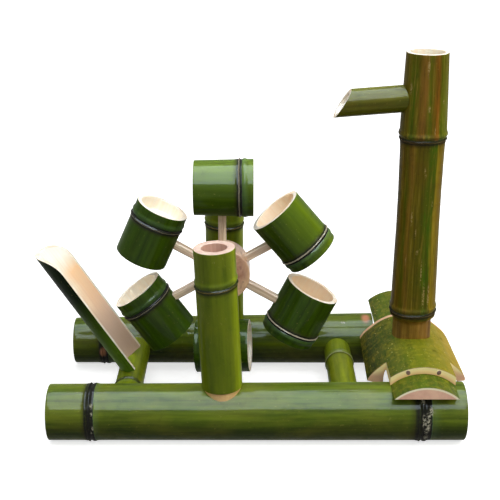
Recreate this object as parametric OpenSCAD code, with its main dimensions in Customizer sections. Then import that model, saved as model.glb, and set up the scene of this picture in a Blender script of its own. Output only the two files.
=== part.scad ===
/* [Fits] */
// Radial clearance of a glued tenon, peg or tube in its hole
fit_gap = 0.15; // [0.1:0.05:0.3]
// Clearance between curved faces that seat on each other
seat_gap = 0.3; // [0.2:0.05:0.5]
// Radial running clearance of the axle in the posts
axle_gap = 0.08; // [0.05:0.01:0.1]
// Clearance between the spacers and the posts
end_play = 0.8; // [0.5:0.1:1.5]
// Bevel on the outer edge of every sawn culm end
edge_break = 0.7; // [0.3:0.1:1.2]

/* [Culms] */
// Height of the ring at a node
ring_rise = 1.5; // [0.8:0.1:2]
// Thickness of the wall that closes a culm at a node
diaphragm = 4; // [3:0.5:6]

/* [Rails] */
// Distance between the axes of the two rails
rail_spacing = 204; // [190:1:230]
// Wall of the rails
rail_wall = 8.5; // [7:0.5:10]
// Depth of the narrow flat planed along the underside of the rails
planed_depth = 0.6; // [0.4:0.1:1]
// Distance from the axle to the left end of the rails
rail_left_reach = 206; // [190:1:225]
// Length of the front rail to the right of the water column's axis
front_rail_over = 50; // [40:1:70]
// Diameter of the front rail at its left end
front_rail_d_left = 66.5; // [64:0.5:70]
// Diameter of the front rail at its right end
front_rail_d_right = 69.4; // [66:0.5:72]
// Distance of the front rail's left node from its left end
front_node_left = 50; // [35:1:65]
// Distance of the front rail's right node from its right end
front_node_right = 53; // [35:1:65]
// Gap between the rear rail's right end and the foot under the slat
rear_rail_gap = 9.5; // [8:0.5:20]
// Diameter of the rear rail at its left end
rear_rail_d_left = 61.6; // [59:0.5:65]
// Diameter of the rear rail at its right end
rear_rail_d_right = 68.5; // [66:0.5:70]
// Distance of the rear rail's node from its left end
rear_node_left = 40; // [30:1:65]

/* [Cross bars] */
// Diameter of the cross bars
bar_d = 35; // [32:0.5:38]
// Wall of the cross bars
bar_wall = 6; // [4:0.5:8]
// Height of the cross bars' axes above the ground
bar_z = 30; // [26:0.5:34]
// Depth of the bars' ends in the rails
bar_tenon = 16; // [12:1:20]
// Distance from the axle to the left cross bar
left_bar_reach = 119; // [105:1:130]
// Distance from the axle to the right cross bar
right_bar_reach = 152; // [140:1:160]
// Distance from the front rail's axis to the left bar's node, in front of the chute
left_bar_node = 58; // [48:1:58]
// Distance from the front rail's axis to the right bar's node
right_bar_node = 133; // [115:1:145]

/* [Posts] */
// Height of the wheel's axle above the ground
axle_z = 175; // [172:1:185]
// Diameter of the front post
front_post_d = 48; // [46:0.5:51]
// Diameter of the rear post
rear_post_d = 50; // [47:0.5:52]
// Wall of the posts
post_wall = 8; // [6:0.5:10]
// Height of the posts above the ground
post_top_z = 243; // [230:1:260]
// Lean of the front post to the left, in degrees
front_post_lean = 2.5; // [0:0.5:3]
// Distance of the front post's foot to the right of the axle
front_post_offset = 1; // [0:0.5:3]
// Height of the front post's node above the ground
front_post_node_z = 192; // [190:1:215]
// Height of the rear post's node above the ground
rear_post_node_z = 200; // [190:1:215]
// Diameter of the posts' tenons
post_tenon_d = 45; // [40:0.5:45.5]
// Depth of the posts' tenons in the rails
post_tenon = 44; // [35:1:46]

/* [Wheel] */
// Diameter of the hub
hub_d = 68; // [62:1:74]
// Thickness of the hub
hub_w = 36; // [30:1:42]
// Bevel on the hub's edges
hub_bevel = 1.2; // [0.5:0.1:2]
// Diameter of the axle
axle_d = 10; // [8:0.5:11]
// Length of the axle inside each post's hollow
axle_end = 5; // [3:0.5:8]
// Outside diameter of the spacer sleeves
spacer_d = 16; // [14:0.5:20]
// Side of the square spokes
spoke_w = 10; // [9:0.5:11.5]
// Corner radius of the spokes
spoke_corner = 2.2; // [1:0.1:3]
// Diameter of the spokes' tenons
spoke_tenon_d = 8; // [6:0.5:8.5]
// Depth of the spokes' tenons in the hub
spoke_tenon = 18; // [14:1:20]
// Length of the spokes' tenons inside the cups
spoke_stub = 1.5; // [1:0.5:4]
// Wall of the cups
cup_wall = 5.5; // [4:0.5:7]
// Distance from the axle to each cup's axis, clockwise from twelve o'clock
cup_reach = [107, 101, 112, 104, 103, 100]; // [98:1:114]
// Length of each cup
cup_length = [72, 73, 70, 68, 74, 70]; // [64:1:76]
// Diameter of each cup at its mouth
cup_mouth_d = [66.5, 68.6, 69, 67, 66.5, 65]; // [63:0.5:71]
// Diameter of each cup at its closed end
cup_butt_d = [69.5, 68.6, 69, 67, 66.5, 65]; // [63:0.5:71]
// Length of each cup beyond its node
cup_stub = [16, 14, 14, 15, 19, 18]; // [13:1:20]
// Turn of each cup from square to its spoke, in degrees
cup_turn = [0, 10, 3.5, 3, 5.5, 6]; // [0:0.5:10]
// Shift of each cup along its own axis, towards its mouth
cup_slide = [-2.3, 0, 0, 0, 5.4, 0]; // [-3:0.1:6]

/* [Saddle] */
// Distance from the axle to the water column
column_reach = 239; // [232:1:250]
// Thickness of the slat at its crown
slat_h = 15; // [12:0.2:17]
// Length of the slat in front of the front rail's axis
slat_front = 36; // [30:1:45]
// Length of the slat behind the rear rail's axis
slat_rear = 50; // [40:1:60]
// Outer radius of the shell at its front end
shell_r = 65; // [62:0.5:68]
// Fall of the shell's outer radius towards its rear end, where the culm was thinner
shell_taper = 3.5; // [0:0.5:4]
// Wall of the shell at its front end
shell_wall = 9; // [7:0.5:10]
// Height of the shell from its lower edges to its crown
shell_h = 40.5; // [36:0.5:43]
// Length of the shell in front of the front rail's axis
shell_front = 2; // [0:1:10]
// Length of the shell behind the column's axis
shell_rear = 63; // [50:1:70]
// Half width of the tab left between the shell's notches
tab_half_w = 39; // [37.5:0.5:42]
// Distance from the front rail to the back of the notches
notch_gap = 5.5; // [3:0.5:10]
// Diameter of the two pegs in the shell's front edge
edge_peg_d = 4.6; // [3.5:0.1:5]
// Length of the edge pegs
edge_peg_l = 24; // [18:1:28]
// Slope of the edge pegs, in degrees
edge_peg_slope = 35; // [30:1:40]
// Angle of each edge peg from the crown, in degrees
edge_peg_turn = 17.5; // [12:0.5:22]
// Diameter of the dowels through the slat
slat_peg_d = 8; // [6:0.5:10]
// Distance of the front dowel behind the front rail's axis
slat_peg_front = 8; // [6:0.5:12]
// Length of a dowel below the wall that it enters
slat_peg_stub = 4; // [2:0.5:6]
// Length of the log under the slat's tail
foot_l = 56; // [50:1:60]

/* [Column and spout] */
// Height of the column's top above the ground
column_top_z = 446; // [430:1:470]
// Diameter of the column at its top
column_d_top = 51; // [48:0.5:53]
// Diameter of the column just above its upper node
column_d_node = 56; // [54:0.5:58]
// Diameter of the column just below its upper node
column_d_mid = 53.5; // [51:0.5:55]
// Diameter of the column at its lower node
column_d_low = 56; // [54:0.5:58]
// Height of the column's upper node above the ground
column_node_high = 340; // [330:1:345]
// Height of the column's lower node above the ground
column_node_low = 124.5; // [115:0.5:135]
// Wall of the column
column_wall = 5; // [4:0.5:6.5]
// Diameter of the shaved part under the lower node
shaved_d = 48; // [45:0.5:50]
// Diameter of the column's tenon in the slat
column_tenon_d = 38; // [34:0.5:42]
// Bore of the column's butt and tenon
butt_bore = 30; // [26:0.5:31]
// Diameter of the spout
spout_d = 32.5; // [29:0.5:34]
// Wall of the spout
spout_wall = 4; // [3:0.5:5]
// Height at which the spout's axis meets the column's axis
spout_z = 393; // [385:1:398]
// Downward slope of the spout, in degrees
spout_slope = 4.5; // [3:0.5:7]
// Distance from the column's axis to the middle of the slanted mouth
spout_reach = 97; // [85:1:105]
// Angle between the spout's axis and its slanted mouth
spout_mouth = 54.5; // [45:0.5:60]
// Length of the spout's end inside the column's hollow
spout_inside = 4; // [2:0.5:6]

/* [Chute] */
// Diameter of the culm that the chute is split from
chute_d = 77; // [72:0.5:80]
// Wall of the chute
chute_wall = 5.5; // [5:0.5:7]
// Angle of the chute above the ground, in degrees
chute_lean = 57.3; // [52:0.1:62]
// Distance from the culm's axis to the split, so that less than half is left
chute_split = 13; // [8:0.5:16]
// Distance from the cross bar's centre to the culm's axis
chute_offset = 33.5; // [30:0.5:36]
// Length of the straight rims, from the cross bar's centre
chute_rim = 167; // [150:1:175]
// Radius on which the rims curve into the tongue
tongue_r = 34.5; // [30:0.5:42]
// Depth of the shallow saddle that seats the chute on the bar
chute_seat = 1.5; // [1:0.1:3]
// Diameter of the two dowels in the chute's butt joint
dowel_d = 3; // [2.5:0.1:3.2]
// Length of a dowel on each side of the joint
dowel_half = 12; // [9:0.5:13]
// Angle of each dowel from the floor of the chute, in degrees
dowel_turn = 35; // [25:1:40]

/* [Water way] */
// Outside diameter of the riser tube
tube_d = 12; // [11:0.5:12.5]
// Bore of the riser tube
tube_bore = 9; // [8:0.5:9.5]
// Clearance of the tube in the column's inner walls
tube_gap = 0.4; // [0.2:0.1:0.8]
// Height of the tube's lower end above the ground
tube_z = 52; // [46:1:58]
// Length of the tube inside the elbow's socket
socket_l = 12; // [9:1:14]
// Wall of the elbow's socket
socket_wall = 2; // [1.5:0.5:2.5]
// Bend radius of the elbow
elbow_r = 14; // [13:0.5:16]
// Length of the elbow's straight nozzle in the spout
nozzle_l = 22; // [15:1:28]
// Outside diameter of the nozzle
nozzle_d = 11; // [10:0.5:11.5]
// Width of the bead round the foot of the nozzle
bead_w = 2; // [1.5:0.5:3]
// Outside diameter of the inlet spigot, for half-inch hose
spigot_d = 13; // [12:0.5:14]
// Length of the inlet spigot
spigot_l = 22; // [18:1:25]
// Diameter of the coupling's collar
collar_d = 18; // [16:0.5:20]
// Thickness of the coupling's collar
collar_h = 4; // [3:0.5:6]
// Wall of the coupling and of the nozzle
coupling_wall = 1.5; // [1:0.1:1.8]
// Length of the coupling inside the riser tube
coupling_inside = 16; // [12:1:20]

/* [Hidden] */
$fn = 64;

// Past this length a cutter clears whatever it cuts
past = 2;
// Overlap of the elbow's bend with what it joins
elbow_lap = 0.5;
// Skin left on the column under its lower node, above the shaved part
skin_end = 8;
// Distances from the column's upper node over which its girth steps
step_below = 3;
step_above = 4;

// Outline of a node along the culm: sheath scar, groove, then the broad ridge above it
NODE_SHAPE = [
    [-7, 0], [-3, 0.4], [-1.3, 0.95], [-0.5, 1], [0.4, 0.15], [2, 0.05], [4.2, 0.75], [6.6, 0.6], [11, 0]
];

wheel_y = rail_spacing / 2;
axle_r = axle_d / 2;
hub_r = hub_d / 2;
bar_r = bar_d / 2;
shaved_r = shaved_d / 2;
front_rail_right_reach = column_reach + front_rail_over;
rear_rail_right_reach = column_reach - foot_l / 2 - rear_rail_gap;
front_rail_l = rail_left_reach + front_rail_right_reach;
rear_rail_l = rail_left_reach + rear_rail_right_reach;

// Radius of a rail at distance x to the right of the axle
function front_rail_r(x) =
    lookup(x, [
        [-rail_left_reach, front_rail_d_left / 2], [front_rail_right_reach, front_rail_d_right / 2]
    ]);
function rear_rail_r(x) =
    lookup(x, [
        [-rail_left_reach, rear_rail_d_left / 2], [rear_rail_right_reach, rear_rail_d_right / 2]
    ]);
// Height of a rail's top line, its underside being level with the ground
function top_z(radius) = 2 * radius - planed_depth;

// Heights of the posts' shoulders, clear of the rails on their lower and on their thicker side
front_post_dip = front_post_d / 2 * sin(front_post_lean);
front_post_base = top_z(front_rail_r(front_post_offset - front_post_d / 2)) + seat_gap + front_post_dip;
rear_post_base = top_z(rear_rail_r(rear_post_d / 2)) + seat_gap;

// Saddle levels, from the front rail's top up
slat_z = top_z(front_rail_r(column_reach)) + seat_gap;
slat_crown = slat_z + slat_h;
shell_bore_r = shell_r - shell_wall;
slat_top_r = shell_bore_r - seat_gap;
saddle_axis_z = slat_crown - slat_top_r;
shell_edge_z = saddle_axis_z + shell_r - shell_h;
shell_front_y = -shell_front;
shell_l = shell_front + wheel_y + shell_rear;
notch_y = front_rail_r(column_reach) + notch_gap;
shell_r_rear = shell_r - shell_taper;
// Half width of the shell at the back of its notches, its widest place
shell_r_notch = lookup(notch_y, [[shell_front_y, shell_r], [shell_front_y + shell_l, shell_r_rear]]);
shell_half_w = sqrt(pow(shell_r_notch, 2) - pow(shell_edge_z - saddle_axis_z, 2));
slat_l = slat_front + rail_spacing + slat_rear;

// Chute, in the plane of the wheel, measured along it and towards its floor
chute_r = chute_d / 2;
split_y = chute_split - chute_offset;
tongue_dip = tongue_r + split_y - (chute_r - chute_offset);
tongue_tip = chute_rim + sqrt(pow(tongue_r, 2) - pow(tongue_dip, 2));
chute_heel = bar_r - chute_seat;
chute_turn = 180 - chute_lean;
chute_tip_x = -left_bar_reach + tongue_tip * cos(chute_turn)
    - (chute_r - chute_offset) * sin(chute_turn);

// Bend of the elbow, from straight up into the spout's own direction, and where it starts
bend = 90 + spout_slope;
bend_x = -elbow_r - elbow_r * cos(180 - bend);
bend_z = spout_z + bend_x * tan(spout_slope) - elbow_r * sin(bend);

// Middle of the whole, where the frame's origin stands on the ground
mid_x = (column_reach + shell_half_w + chute_tip_x) / 2;
mid_y = (rail_spacing + slat_rear - slat_front) / 2;

// Place on the ground with the origin under the middle of the whole
module placed() {
    translate([-mid_x, -mid_y, 0]) children();
}

// Upright plane of the wheel: local x runs right, y up and z to the front
module in_wheel_plane(x, z) {
    translate([x, wheel_y, z]) rotate([90, 0, 0]) children();
}

// Outer outline of a culm from its lower to its upper end: girths holds [distance, radius],
// rings the distances of its nodes, and up is -1 where it grew the other way
function ring_points(girths, s, up, grow) = [
    for (k = [0 : len(NODE_SHAPE) - 1])
        let (p = NODE_SHAPE[up > 0 ? k : len(NODE_SHAPE) - 1 - k], at = s + up * p[0])
            [lookup(at, girths) + grow + ring_rise * p[1], at]
];
function culm_outline(girths, rings, up, grow, bevel) =
    let (
        low = girths[0][0], high = girths[len(girths) - 1][0],
        r_low = lookup(low, girths) + grow, r_high = lookup(high, girths) + grow
    ) concat(
        [[0, low], [r_low - bevel, low], [r_low, low + bevel]],
        [for (s = rings) each ring_points(girths, s, up, grow)],
        [[r_high, high - bevel], [r_high - bevel, high], [0, high]]
    );

// Outside of a culm along +Z, made thicker by grow
module culm_skin(girths, rings = [], up = 1, grow = 0) {
    rotate_extrude() polygon(culm_outline(girths, rings, up, grow, edge_break));
}

// Hollows of a culm: one between each pair of inner walls, and the open ends
module culm_hollows(girths, rings, wall) {
    last = len(girths) - 1;
    stops = concat([girths[0][0] - past], rings, [girths[last][0] + past]);
    for (k = [0 : len(stops) - 2]) {
        from = stops[k] + (k == 0 ? 0 : diaphragm / 2);
        to = stops[k + 1] - (k == len(stops) - 2 ? 0 : diaphragm / 2);
        translate([0, 0, from])
            cylinder(h = to - from, r1 = lookup(from, girths) - wall, r2 = lookup(to, girths) - wall);
    }
}

module culm(girths, rings, wall, up = 1) {
    difference() {
        culm_skin(girths, rings, up);
        culm_hollows(girths, rings, wall);
    }
}

// A rail lies with its thicker end to the right and its underside level
module rail_lie(y, length, r_left, r_right) {
    rise = atan((r_right - r_left) / length);
    translate([-rail_left_reach, y, r_left - planed_depth]) rotate([0, 90 - rise, 0]) children();
}

// Everything under the ground, which the planed flat takes off
module ground_cut() {
    width = rail_spacing * 2;
    depth = front_rail_d_right;
    translate([-front_rail_l, -width, -depth]) cube([front_rail_l * 2, width * 2, depth]);
}

// A cross bar's end in a rail: from inside the front rail to inside the rear one
module bar_room(x, grow, extra) {
    from = front_rail_r(x) - bar_tenon - extra;
    to = rail_spacing - rear_rail_r(x) + bar_tenon + extra;
    translate([x, from, bar_z]) rotate([-90, 0, 0]) cylinder(h = to - from, r = bar_r + grow);
}

module bar_sockets() {
    bar_room(-left_bar_reach, fit_gap, seat_gap);
    bar_room(right_bar_reach, fit_gap, seat_gap);
}

module front_rail() {
    r_left = front_rail_d_left / 2;
    r_right = front_rail_d_right / 2;
    rings = [front_node_left, front_rail_l - front_node_right];
    color("olivedrab") placed() difference() {
        rail_lie(0, front_rail_l, r_left, r_right)
            culm([[0, r_left], [front_rail_l, r_right]], rings, rail_wall, -1);
        ground_cut();
        bar_sockets();
        front_post_stand() post_socket();
        slat_peg(slat_peg_front, fit_gap);
    }
}

module rear_rail() {
    r_left = rear_rail_d_left / 2;
    r_right = rear_rail_d_right / 2;
    color("olivedrab") placed() difference() {
        rail_lie(rail_spacing, rear_rail_l, r_left, r_right)
            culm([[0, r_left], [rear_rail_l, r_right]], [rear_node_left], rail_wall, -1);
        ground_cut();
        bar_sockets();
        rear_post_stand() post_socket();
    }
}

module cross_bar(x, rings, up) {
    from = front_rail_r(x) - bar_tenon;
    to = rail_spacing - rear_rail_r(x) + bar_tenon;
    placed() translate([x, 0, bar_z]) rotate([-90, 0, 0])
        culm([[from, bar_r], [to, bar_r]], rings, bar_wall, up);
}

module left_cross_bar() {
    color("yellowgreen") difference() {
        cross_bar(-left_bar_reach, [left_bar_node], -1);
        placed() in_chute_plane() dowel_pair(fit_gap);
    }
}

module right_cross_bar() {
    color("yellowgreen") cross_bar(right_bar_reach, [right_bar_node], 1);
}

module front_post_stand() {
    translate([front_post_offset, 0, front_post_base]) rotate([0, -front_post_lean, 0]) children();
}

module rear_post_stand() {
    translate([0, rail_spacing, rear_post_base]) children();
}

// Hole for a post's tenon, measured down from the post's shoulder
module post_socket() {
    depth = post_tenon + seat_gap;
    translate([0, 0, -depth]) cylinder(h = depth + front_rail_d_left / 2, d = post_tenon_d + 2 * fit_gap);
}

// A post with its shoulder at local height zero and its tenon below
module post(d, height, node_up) {
    difference() {
        union() {
            culm_skin([[0, d / 2], [height, d / 2]], [node_up]);
            translate([0, 0, -post_tenon]) cylinder(h = post_tenon + past, d = post_tenon_d);
        }
        culm_hollows([[-post_tenon, d / 2], [height, d / 2]], [node_up], post_wall);
    }
}

// Hole for the axle in one post's inner wall, from the hollow towards the wheel
module axle_hole(from, to) {
    translate([0, from, axle_z]) rotate([-90, 0, 0]) cylinder(h = to - from, r = axle_r + axle_gap);
}

module front_post() {
    color("olive") placed() difference() {
        front_post_stand()
            post(front_post_d, post_top_z - front_post_base, front_post_node_z - front_post_base);
        axle_hole(0, front_post_d);
    }
}

module rear_post() {
    color("olive") placed() difference() {
        rear_post_stand()
            post(rear_post_d, post_top_z - rear_post_base, rear_post_node_z - rear_post_base);
        axle_hole(rail_spacing - rear_post_d, rail_spacing);
    }
}

module axle() {
    from = front_post_d / 2 - post_wall - axle_end;
    to = rail_spacing - (rear_post_d / 2 - post_wall - axle_end);
    color("tan") placed() translate([0, from, axle_z]) rotate([-90, 0, 0])
        rotate_extrude() polygon([
            [0, 0], [axle_r - edge_break, 0], [axle_r, edge_break],
            [axle_r, to - from - edge_break], [axle_r - edge_break, to - from], [0, to - from]
        ]);
}

// Sleeve on the axle between two distances from the front rail's axis
module spacer(from, to) {
    color("wheat") placed() translate([0, from, axle_z]) rotate([-90, 0, 0]) difference() {
        cylinder(h = to - from, d = spacer_d);
        translate([0, 0, -past]) cylinder(h = to - from + 2 * past, r = axle_r + fit_gap);
    }
}

module front_spacer() {
    spacer(front_post_d / 2 + end_play, wheel_y - hub_w / 2 - fit_gap);
}

module rear_spacer() {
    spacer(wheel_y + hub_w / 2 + fit_gap, rail_spacing - rear_post_d / 2 - end_play);
}

// Spoke k points out from the axle, number one straight up and the rest clockwise
function spoke_angle(k) = 90 - (k - 1) * 60;

module along_spoke(k) {
    in_wheel_plane(0, axle_z) rotate([0, 0, spoke_angle(k)]) children();
}

// Tenons of a spoke, from inside the hub to inside its cup
module spoke_rod(k, grow, extra) {
    from = hub_r - spoke_tenon - extra;
    to = cup_reach[k - 1] - cup_bore_r(k) + spoke_stub + extra;
    translate([from, 0, 0]) rotate([0, 90, 0]) cylinder(h = to - from, d = spoke_tenon_d + 2 * grow);
}

module wheel_hub() {
    color("rosybrown") placed() difference() {
        in_wheel_plane(0, axle_z) translate([0, 0, -hub_w / 2]) rotate_extrude() polygon([
            [0, 0], [hub_r - hub_bevel, 0], [hub_r, hub_bevel],
            [hub_r, hub_w - hub_bevel], [hub_r - hub_bevel, hub_w], [0, hub_w]
        ]);
        for (k = [1 : 6]) along_spoke(k) spoke_rod(k, fit_gap, seat_gap);
        translate([0, wheel_y - hub_w, axle_z]) rotate([-90, 0, 0])
            cylinder(h = 2 * hub_w, r = axle_r + fit_gap);
    }
}

// Square bar with round corners along +X
module stick(from, to) {
    inner = spoke_w - 2 * spoke_corner;
    translate([from, 0, 0]) rotate([90, 0, 90]) linear_extrude(to - from) union() {
        square([spoke_w, inner], center = true);
        square([inner, spoke_w], center = true);
        for (x = [-1, 1], y = [-1, 1]) translate([x * inner / 2, y * inner / 2]) circle(r = spoke_corner);
    }
}

module spoke(k) {
    color("burlywood") placed() along_spoke(k) {
        difference() {
            stick(hub_r - spoke_w / 2, cup_reach[k - 1] - cup_wall);
            cylinder(h = 2 * hub_w, r = hub_r + seat_gap, center = true);
            in_cup(k) culm_skin(cup_girths(k), [], 1, seat_gap);
        }
        spoke_rod(k, 0, 0);
    }
}

// Radius of a cup along its axis, and of its hollow where its spoke comes in
function cup_girths(k) = [[0, cup_mouth_d[k - 1] / 2], [cup_length[k - 1], cup_butt_d[k - 1] / 2]];
function cup_bore_r(k) = (cup_mouth_d[k - 1] + cup_butt_d[k - 1]) / 4 - cup_wall;

// Cup k's own axis along +Z, from its mouth to its closed end
module in_cup(k) {
    translate([cup_reach[k - 1], 0, 0])
        rotate([0, 0, 90 + cup_turn[k - 1]])
            translate([cup_length[k - 1] / 2 + cup_slide[k - 1], 0, 0]) rotate([0, -90, 0]) children();
}

module cup(k) {
    node_at = cup_length[k - 1] - cup_stub[k - 1];
    color("darkolivegreen") placed() along_spoke(k) difference() {
        in_cup(k) culm(cup_girths(k), [node_at], cup_wall);
        spoke_rod(k, fit_gap, seat_gap);
    }
}

module column_stand() {
    translate([column_reach, wheel_y, 0]) children();
}

// Room for the column in the saddle
module column_room(d, from, to) {
    column_stand() translate([0, 0, from]) cylinder(h = to - from, d = d + 2 * fit_gap);
}

// The spout's own axis along +Z, from the column's axis outwards
module in_spout() {
    in_wheel_plane(column_reach, spout_z) rotate([0, 0, 180 + spout_slope]) rotate([0, 90, 0]) children();
}

module water_column() {
    girths = [
        [column_node_low - skin_end, column_d_low / 2], [column_node_low, column_d_low / 2],
        [column_node_high - step_below, column_d_mid / 2],
        [column_node_high + step_above, column_d_node / 2],
        [column_top_z, column_d_top / 2]
    ];
    color("darkolivegreen") placed() difference() {
        column_stand() difference() {
            union() {
                culm_skin(girths, [column_node_low, column_node_high]);
                translate([0, 0, slat_crown + seat_gap])
                    cylinder(h = column_node_low - slat_crown, r = shaved_r);
                translate([0, 0, slat_z]) cylinder(h = slat_h + past, d = column_tenon_d);
            }
            translate([0, 0, column_node_low + diaphragm])
                cylinder(
                    h = column_node_high - column_node_low - diaphragm * 3 / 2,
                    r = column_d_mid / 2 - column_wall
                );
            translate([0, 0, column_node_high + diaphragm / 2])
                cylinder(h = column_top_z, r = column_d_top / 2 - column_wall);
            translate([0, 0, slat_z - past])
                cylinder(h = column_node_low - slat_z + past, d = butt_bore);
            cylinder(h = column_top_z, d = tube_d + 2 * tube_gap);
        }
        in_spout() cylinder(h = column_d_node, d = spout_d + 2 * fit_gap);
    }
}

module spout() {
    from = column_d_top / 2 - column_wall - spout_inside;
    r = spout_d / 2;
    color("olivedrab") placed() in_spout() difference() {
        translate([0, 0, from]) cylinder(h = spout_reach + spout_d - from, r = r);
        cylinder(h = spout_reach + spout_d * 2, r = r - spout_wall);
        translate([0, 0, spout_reach]) rotate([90 - spout_mouth, 0, 0])
            translate([-spout_d, -2 * spout_d, 0]) cube([2 * spout_d, 4 * spout_d, 4 * spout_d]);
    }
}

// Full round of the saddle's culm, along +Y from a distance
module saddle_round(r, from, length, r_rear) {
    translate([column_reach, from, saddle_axis_z]) rotate([-90, 0, 0])
        cylinder(h = length, r1 = r, r2 = r_rear);
}

// Keeps what is above a height
module above(z) {
    intersection() {
        children();
        translate([column_reach - 2 * shell_r, -slat_l, z]) cube([4 * shell_r, 3 * slat_l, 4 * shell_r]);
    }
}

// Room in the slat's underside for the front rail's right node
module node_room() {
    at = front_rail_l - front_node_right;
    node_from = NODE_SHAPE[0][0];
    node_to = NODE_SHAPE[len(NODE_SHAPE) - 1][0];
    rail_lie(0, front_rail_l, front_rail_d_left / 2, front_rail_d_right / 2)
        translate([0, 0, at - node_to - seat_gap])
            cylinder(
                h = node_to - node_from + 2 * seat_gap,
                r = front_rail_r(at - rail_left_reach) + ring_rise + seat_gap
            );
}

module saddle_slat() {
    color("olivedrab") placed() difference() {
        above(slat_z) saddle_round(slat_top_r, -slat_front, slat_l, slat_top_r);
        node_room();
        column_room(column_tenon_d, slat_z - past, slat_crown + past);
        slat_peg(slat_peg_front, fit_gap);
        slat_peg(rail_spacing, fit_gap);
        edge_pegs(fit_gap);
    }
}

// One notch in a front corner of the shell, on the side that side gives
module shell_notch(side) {
    reach = shell_r * 2;
    translate([column_reach + (side > 0 ? tab_half_w : -tab_half_w - reach), -reach, 0])
        cube([reach, reach + notch_y, 2 * slat_crown]);
}

module saddle_shell() {
    color("olivedrab") placed() difference() {
        above(shell_edge_z) difference() {
            saddle_round(shell_r, shell_front_y, shell_l, shell_r_rear);
            saddle_round(shell_bore_r, shell_front_y - past, shell_l + 2 * past, shell_bore_r);
        }
        for (side = [-1, 1]) shell_notch(side);
        translate([column_reach - shell_r, -shell_l, 0]) cube([2 * shell_r, shell_l + notch_y, slat_z]);
        column_room(shaved_d, saddle_axis_z, slat_crown + shell_r);
        edge_pegs(fit_gap);
    }
}

// Two pegs driven on the slant from the shell's front edge into the slat
module edge_pegs(grow) {
    for (side = [-1, 1])
        translate([column_reach, shell_front_y, saddle_axis_z])
            rotate([0, side * edge_peg_turn, 0])
                translate([0, 0, shell_r - shell_wall / 2])
                    rotate([-90 - edge_peg_slope, 0, 0])
                        translate([0, 0, -past * 4])
                            cylinder(h = edge_peg_l + past * 4, d = edge_peg_d + 2 * grow);
}

module saddle_pegs() {
    color("saddlebrown") placed() intersection() {
        edge_pegs(0);
        translate([column_reach - shell_r, shell_front_y, 0]) cube([2 * shell_r, shell_l, 2 * slat_crown]);
    }
}

// Dowel down through the slat's crown and the culm under it
module slat_peg(y, grow) {
    bottom = slat_z - seat_gap - rail_wall - slat_peg_stub - grow;
    translate([column_reach, y, bottom])
        cylinder(h = slat_crown - seat_gap - bottom + grow, d = slat_peg_d + 2 * grow);
}

module slat_pegs() {
    color("wheat") placed() {
        slat_peg(slat_peg_front, 0);
        slat_peg(rail_spacing, 0);
    }
}

module rear_foot() {
    foot_r = (slat_z - seat_gap + planed_depth) / 2;
    color("olivedrab") placed() difference() {
        translate([column_reach - foot_l / 2, rail_spacing, foot_r - planed_depth]) rotate([0, 90, 0])
            culm([[0, foot_r], [foot_l, foot_r]], [], rail_wall);
        ground_cut();
        slat_peg(rail_spacing, fit_gap);
    }
}

module riser_tube() {
    color("gainsboro") placed() column_stand() translate([0, 0, tube_z]) difference() {
        cylinder(h = bend_z - tube_z, d = tube_d);
        translate([0, 0, -past]) cylinder(h = bend_z - tube_z + 2 * past, d = tube_bore);
    }
}

// Way of the water through the elbow: the bend, then the straight nozzle, a little narrower
module elbow_way(bend_d, straight_d) {
    translate([-elbow_r, fit_gap, 0]) rotate_extrude(angle = bend)
        translate([elbow_r, 0]) circle(d = bend_d);
    at_nozzle() translate([0, 0, -elbow_lap]) cylinder(h = nozzle_l + elbow_lap, d = straight_d);
}

// Foot of the nozzle, with local z along it
module at_nozzle() {
    translate([-elbow_r, fit_gap, 0]) rotate([0, 0, bend]) translate([elbow_r, 0, 0])
        rotate([-90, 0, 0]) children();
}

module riser_elbow() {
    socket_bore = tube_d + 2 * fit_gap;
    color("dimgray") placed() in_wheel_plane(column_reach, bend_z) difference() {
        union() {
            elbow_way(tube_d, nozzle_d);
            at_nozzle() translate([0, 0, -bead_w / 2]) cylinder(h = bead_w, d = tube_d + bead_w);
            rotate([90, 0, 0]) translate([0, 0, -fit_gap - socket_wall])
                cylinder(h = socket_l + socket_wall, d = socket_bore + 2 * socket_wall);
        }
        elbow_way(tube_bore, nozzle_d - 2 * coupling_wall);
        at_nozzle() cylinder(h = nozzle_l + past, d = nozzle_d - 2 * coupling_wall);
        rotate([90, 0, 0]) translate([0, 0, -fit_gap - elbow_lap])
            cylinder(h = socket_l + past, d = socket_bore);
    }
}

module inlet_coupling() {
    inside_d = tube_bore - 2 * fit_gap;
    bore = inside_d - 2 * coupling_wall;
    color("dimgray") placed() column_stand() translate([0, 0, tube_z - fit_gap]) difference() {
        union() {
            translate([0, 0, -collar_h]) cylinder(h = collar_h, d = collar_d);
            translate([0, 0, -past]) cylinder(h = coupling_inside + past, d = inside_d);
            translate([0, 0, -collar_h - spigot_l]) cylinder(h = spigot_l + past, d = spigot_d);
        }
        translate([0, 0, -collar_h - spigot_l - past])
            cylinder(h = collar_h + spigot_l + coupling_inside + 2 * past, d = bore);
    }
}

// Plane of the chute: local x runs up along it from the cross bar, y towards its floor
module in_chute_plane() {
    in_wheel_plane(-left_bar_reach, bar_z) rotate([0, 0, chute_turn]) children();
}

// Side view of the chute: straight rims that curve down into a tongue
module chute_side() {
    translate([chute_heel, split_y]) square([chute_rim - chute_heel, 2 * tongue_r]);
    translate([chute_rim, split_y + tongue_r]) circle(r = tongue_r);
}

// Two dowels in the wall of the chute, along it, half in the chute and half in the bar
module dowel_pair(grow) {
    mid_r = chute_r - chute_wall / 2;
    for (side = [-1, 1])
        translate([
            bar_r - dowel_half - grow,
            mid_r * cos(dowel_turn) - chute_offset,
            side * mid_r * sin(dowel_turn)
        ]) rotate([0, 90, 0]) cylinder(h = 2 * (dowel_half + grow), d = dowel_d + 2 * grow);
}

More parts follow.
